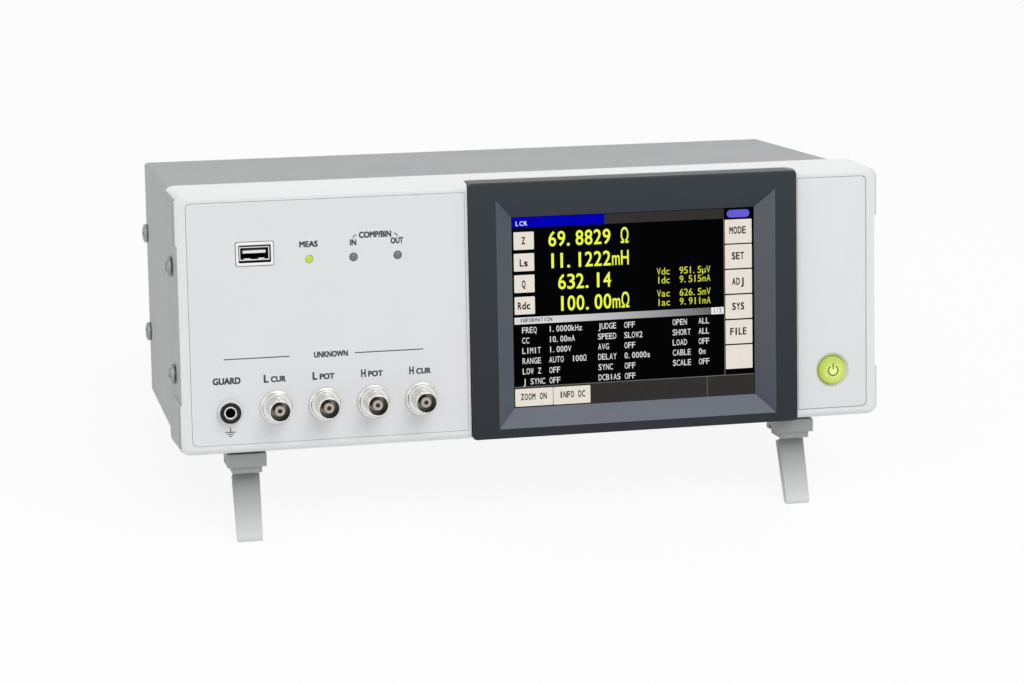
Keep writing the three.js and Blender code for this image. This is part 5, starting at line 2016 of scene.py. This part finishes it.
# ---- studio ----
@dataclass
class Studio:
    """Pale floor, soft lamps, plain world and the camera."""

    stance: Stance
    paper: float = 0.88
    lens: float = 93.16
    shift: float = -0.13
    camera_place: Triple = (-267.74, -1162.96, 246.65)
    camera_ahead: Triple = (0.2142, 0.96972, -0.11734)
    camera_up: Triple = (0.04282, 0.11069, 0.99293)

    def floor(self) -> Object:
        """Lays a wide pale floor under the feet."""
        deselect()
        bpy.ops.mesh.primitive_plane_add(size=1, location=(0, 0, 0), scale=(1, 1, 1))
        floor = bpy.context.object
        floor.name = "floor"
        with shaping(floor):
            bpy.ops.mesh.select_all(action="SELECT")
            bpy.ops.transform.resize(value=(12, 12, 1), center_override=(0, 0, 0))
            bpy.ops.mesh.subdivide(number_cuts=3)
        finish = Finish("pale floor", (250, 250, 250), 0.7, specular=0.1, cloud=0.002,
                        cloud_size=300, grain_size=5, grain_height=0.001)
        material = finish.material()
        nodes, links = material.node_tree.nodes, material.node_tree.links
        output = next(node for node in nodes if node.type == "OUTPUT_MATERIAL")
        shaded = output.inputs["Surface"].links[0].from_socket
        paper, share, mix = (nodes.new(kind) for kind in (
            "ShaderNodeEmission", "ShaderNodeMath", "ShaderNodeMixShader"))
        paper.inputs["Color"].default_value = (1, 1, 1, 1)
        share.operation = "MULTIPLY"
        share.inputs[1].default_value = self.paper
        links.new(self.seen(material.node_tree), share.inputs[0])
        links.new(share.outputs["Value"], mix.inputs["Fac"])
        links.new(shaded, mix.inputs[1])
        links.new(paper.outputs["Emission"], mix.inputs[2])
        links.new(mix.outputs["Shader"], output.inputs["Surface"])
        floor.data.materials.append(material)
        return floor

    def lamp(self, name: str, place: Triple, size: float, power: float) -> Object:
        """Hangs a square soft lamp that faces the meter.

        Args:
            name: The lamp's name.
            place: Where it hangs, in metres.
            size: Its side, in metres.
            power: Its power, in watts.

        Returns:
            The lamp.
        """
        data = bpy.data.lights.new(name, "AREA")
        data.size = size
        data.energy = power
        lamp = bpy.data.objects.new(name, data)
        lamp.location = place
        aim = Vector((0, 0, 0.06)) - Vector(place)
        lamp.rotation_euler = aim.to_track_quat("-Z", "Y").to_euler()
        bpy.context.scene.collection.objects.link(lamp)
        return lamp

    @staticmethod
    def seen(tree: NodeTree) -> NodeSocket:
        """Adds nodes that give 1 to camera, glossy and transmission rays and 0 to the rest.

        Args:
            tree: The node tree that they go in.

        Returns:
            The socket.
        """
        path = tree.nodes.new("ShaderNodeLightPath")
        total = path.outputs["Is Camera Ray"]
        for name in ("Is Glossy Ray", "Is Transmission Ray"):
            either = tree.nodes.new("ShaderNodeMath")
            either.operation = "MAXIMUM"
            tree.links.new(total, either.inputs[0])
            tree.links.new(path.outputs[name], either.inputs[1])
            total = either.outputs["Value"]
        return total

    def world(self, level: float) -> None:
        """Sets an even pale light that shows as plain white where nothing else is seen."""
        world = bpy.data.worlds.new("studio")
        bpy.context.scene.world = world
        world.use_nodes = True
        nodes, links = world.node_tree.nodes, world.node_tree.links
        nodes.clear()
        output = nodes.new("ShaderNodeOutputWorld")
        light, seen, mix = (nodes.new(k) for k in (
            "ShaderNodeBackground", "ShaderNodeBackground", "ShaderNodeMixShader"))
        light.inputs["Strength"].default_value = level
        light.inputs["Color"].default_value = (1, 1, 1, 1)
        seen.inputs["Color"].default_value = (1, 1, 1, 1)
        links.new(self.seen(world.node_tree), mix.inputs["Fac"])
        links.new(light.outputs["Background"], mix.inputs[1])
        links.new(seen.outputs["Background"], mix.inputs[2])
        links.new(mix.outputs["Shader"], output.inputs["Surface"])

    def camera(self) -> Object:
        """Sets the camera at the viewing angle, with a fixed lens and a small shift."""
        data = bpy.data.cameras.new("camera")
        data.lens = self.lens
        data.sensor_width = 36
        data.shift_y = self.shift
        data.clip_start, data.clip_end = 0.05, 30
        camera = bpy.data.objects.new("camera", data)
        ahead = (self.stance.turn @ Vector(self.camera_ahead)).normalized()
        up = self.stance.turn @ Vector(self.camera_up)
        right = ahead.cross(up).normalized()
        up = right.cross(ahead)
        camera.matrix_world = (
            Matrix.Translation(self.stance.matrix @ Vector(self.camera_place))
            @ Matrix((right, up, -ahead)).transposed().to_4x4()
        )
        bpy.context.scene.collection.objects.link(camera)
        bpy.context.scene.camera = camera
        return camera

    def build(self) -> None:
        """Builds the whole studio."""
        self.floor()
        self.lamp("key lamp", (0.4, -1.0, 1.8), 1.4, 18.5)
        self.lamp("fill lamp", (-1.7, -0.5, 0.8), 1.4, 4.3)
        self.world(0.56)
        self.camera()


def main() -> None:
    """Builds every sub-assembly in order and reports each piece."""
    logging.basicConfig(level=logging.INFO, format="%(message)s")
    bpy.context.scene.view_settings.view_transform = "Standard"
    stance = Stance()
    setter = Typesetter()
    surround = DisplaySurround(stance)
    builders: list[SubAssembly] = [
        FrontFrame(stance),
        surround,
        ScreenPicture(stance, setter=setter, surround=surround),
        Legends(stance, setter=setter),
        UsbPort(stance),
        IndicatorLamps(stance),
        CoaxialJacks(stance),
        GuardSocket(stance),
        PowerButton(stance),
        TopCover(stance),
        Screws(stance),
        RearConnector(stance),
        RefinedNodes(stance, nodes=REFINED),
        CarriedNodes(stance),
    ]
    for builder in builders:
        for piece in builder.build():
            log.info("%s: %s, %d faces", type(builder).__name__, piece.name,
                     len(piece.data.polygons))
    Studio(stance).build()
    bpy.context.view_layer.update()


if __name__ == "__main__":
    main()
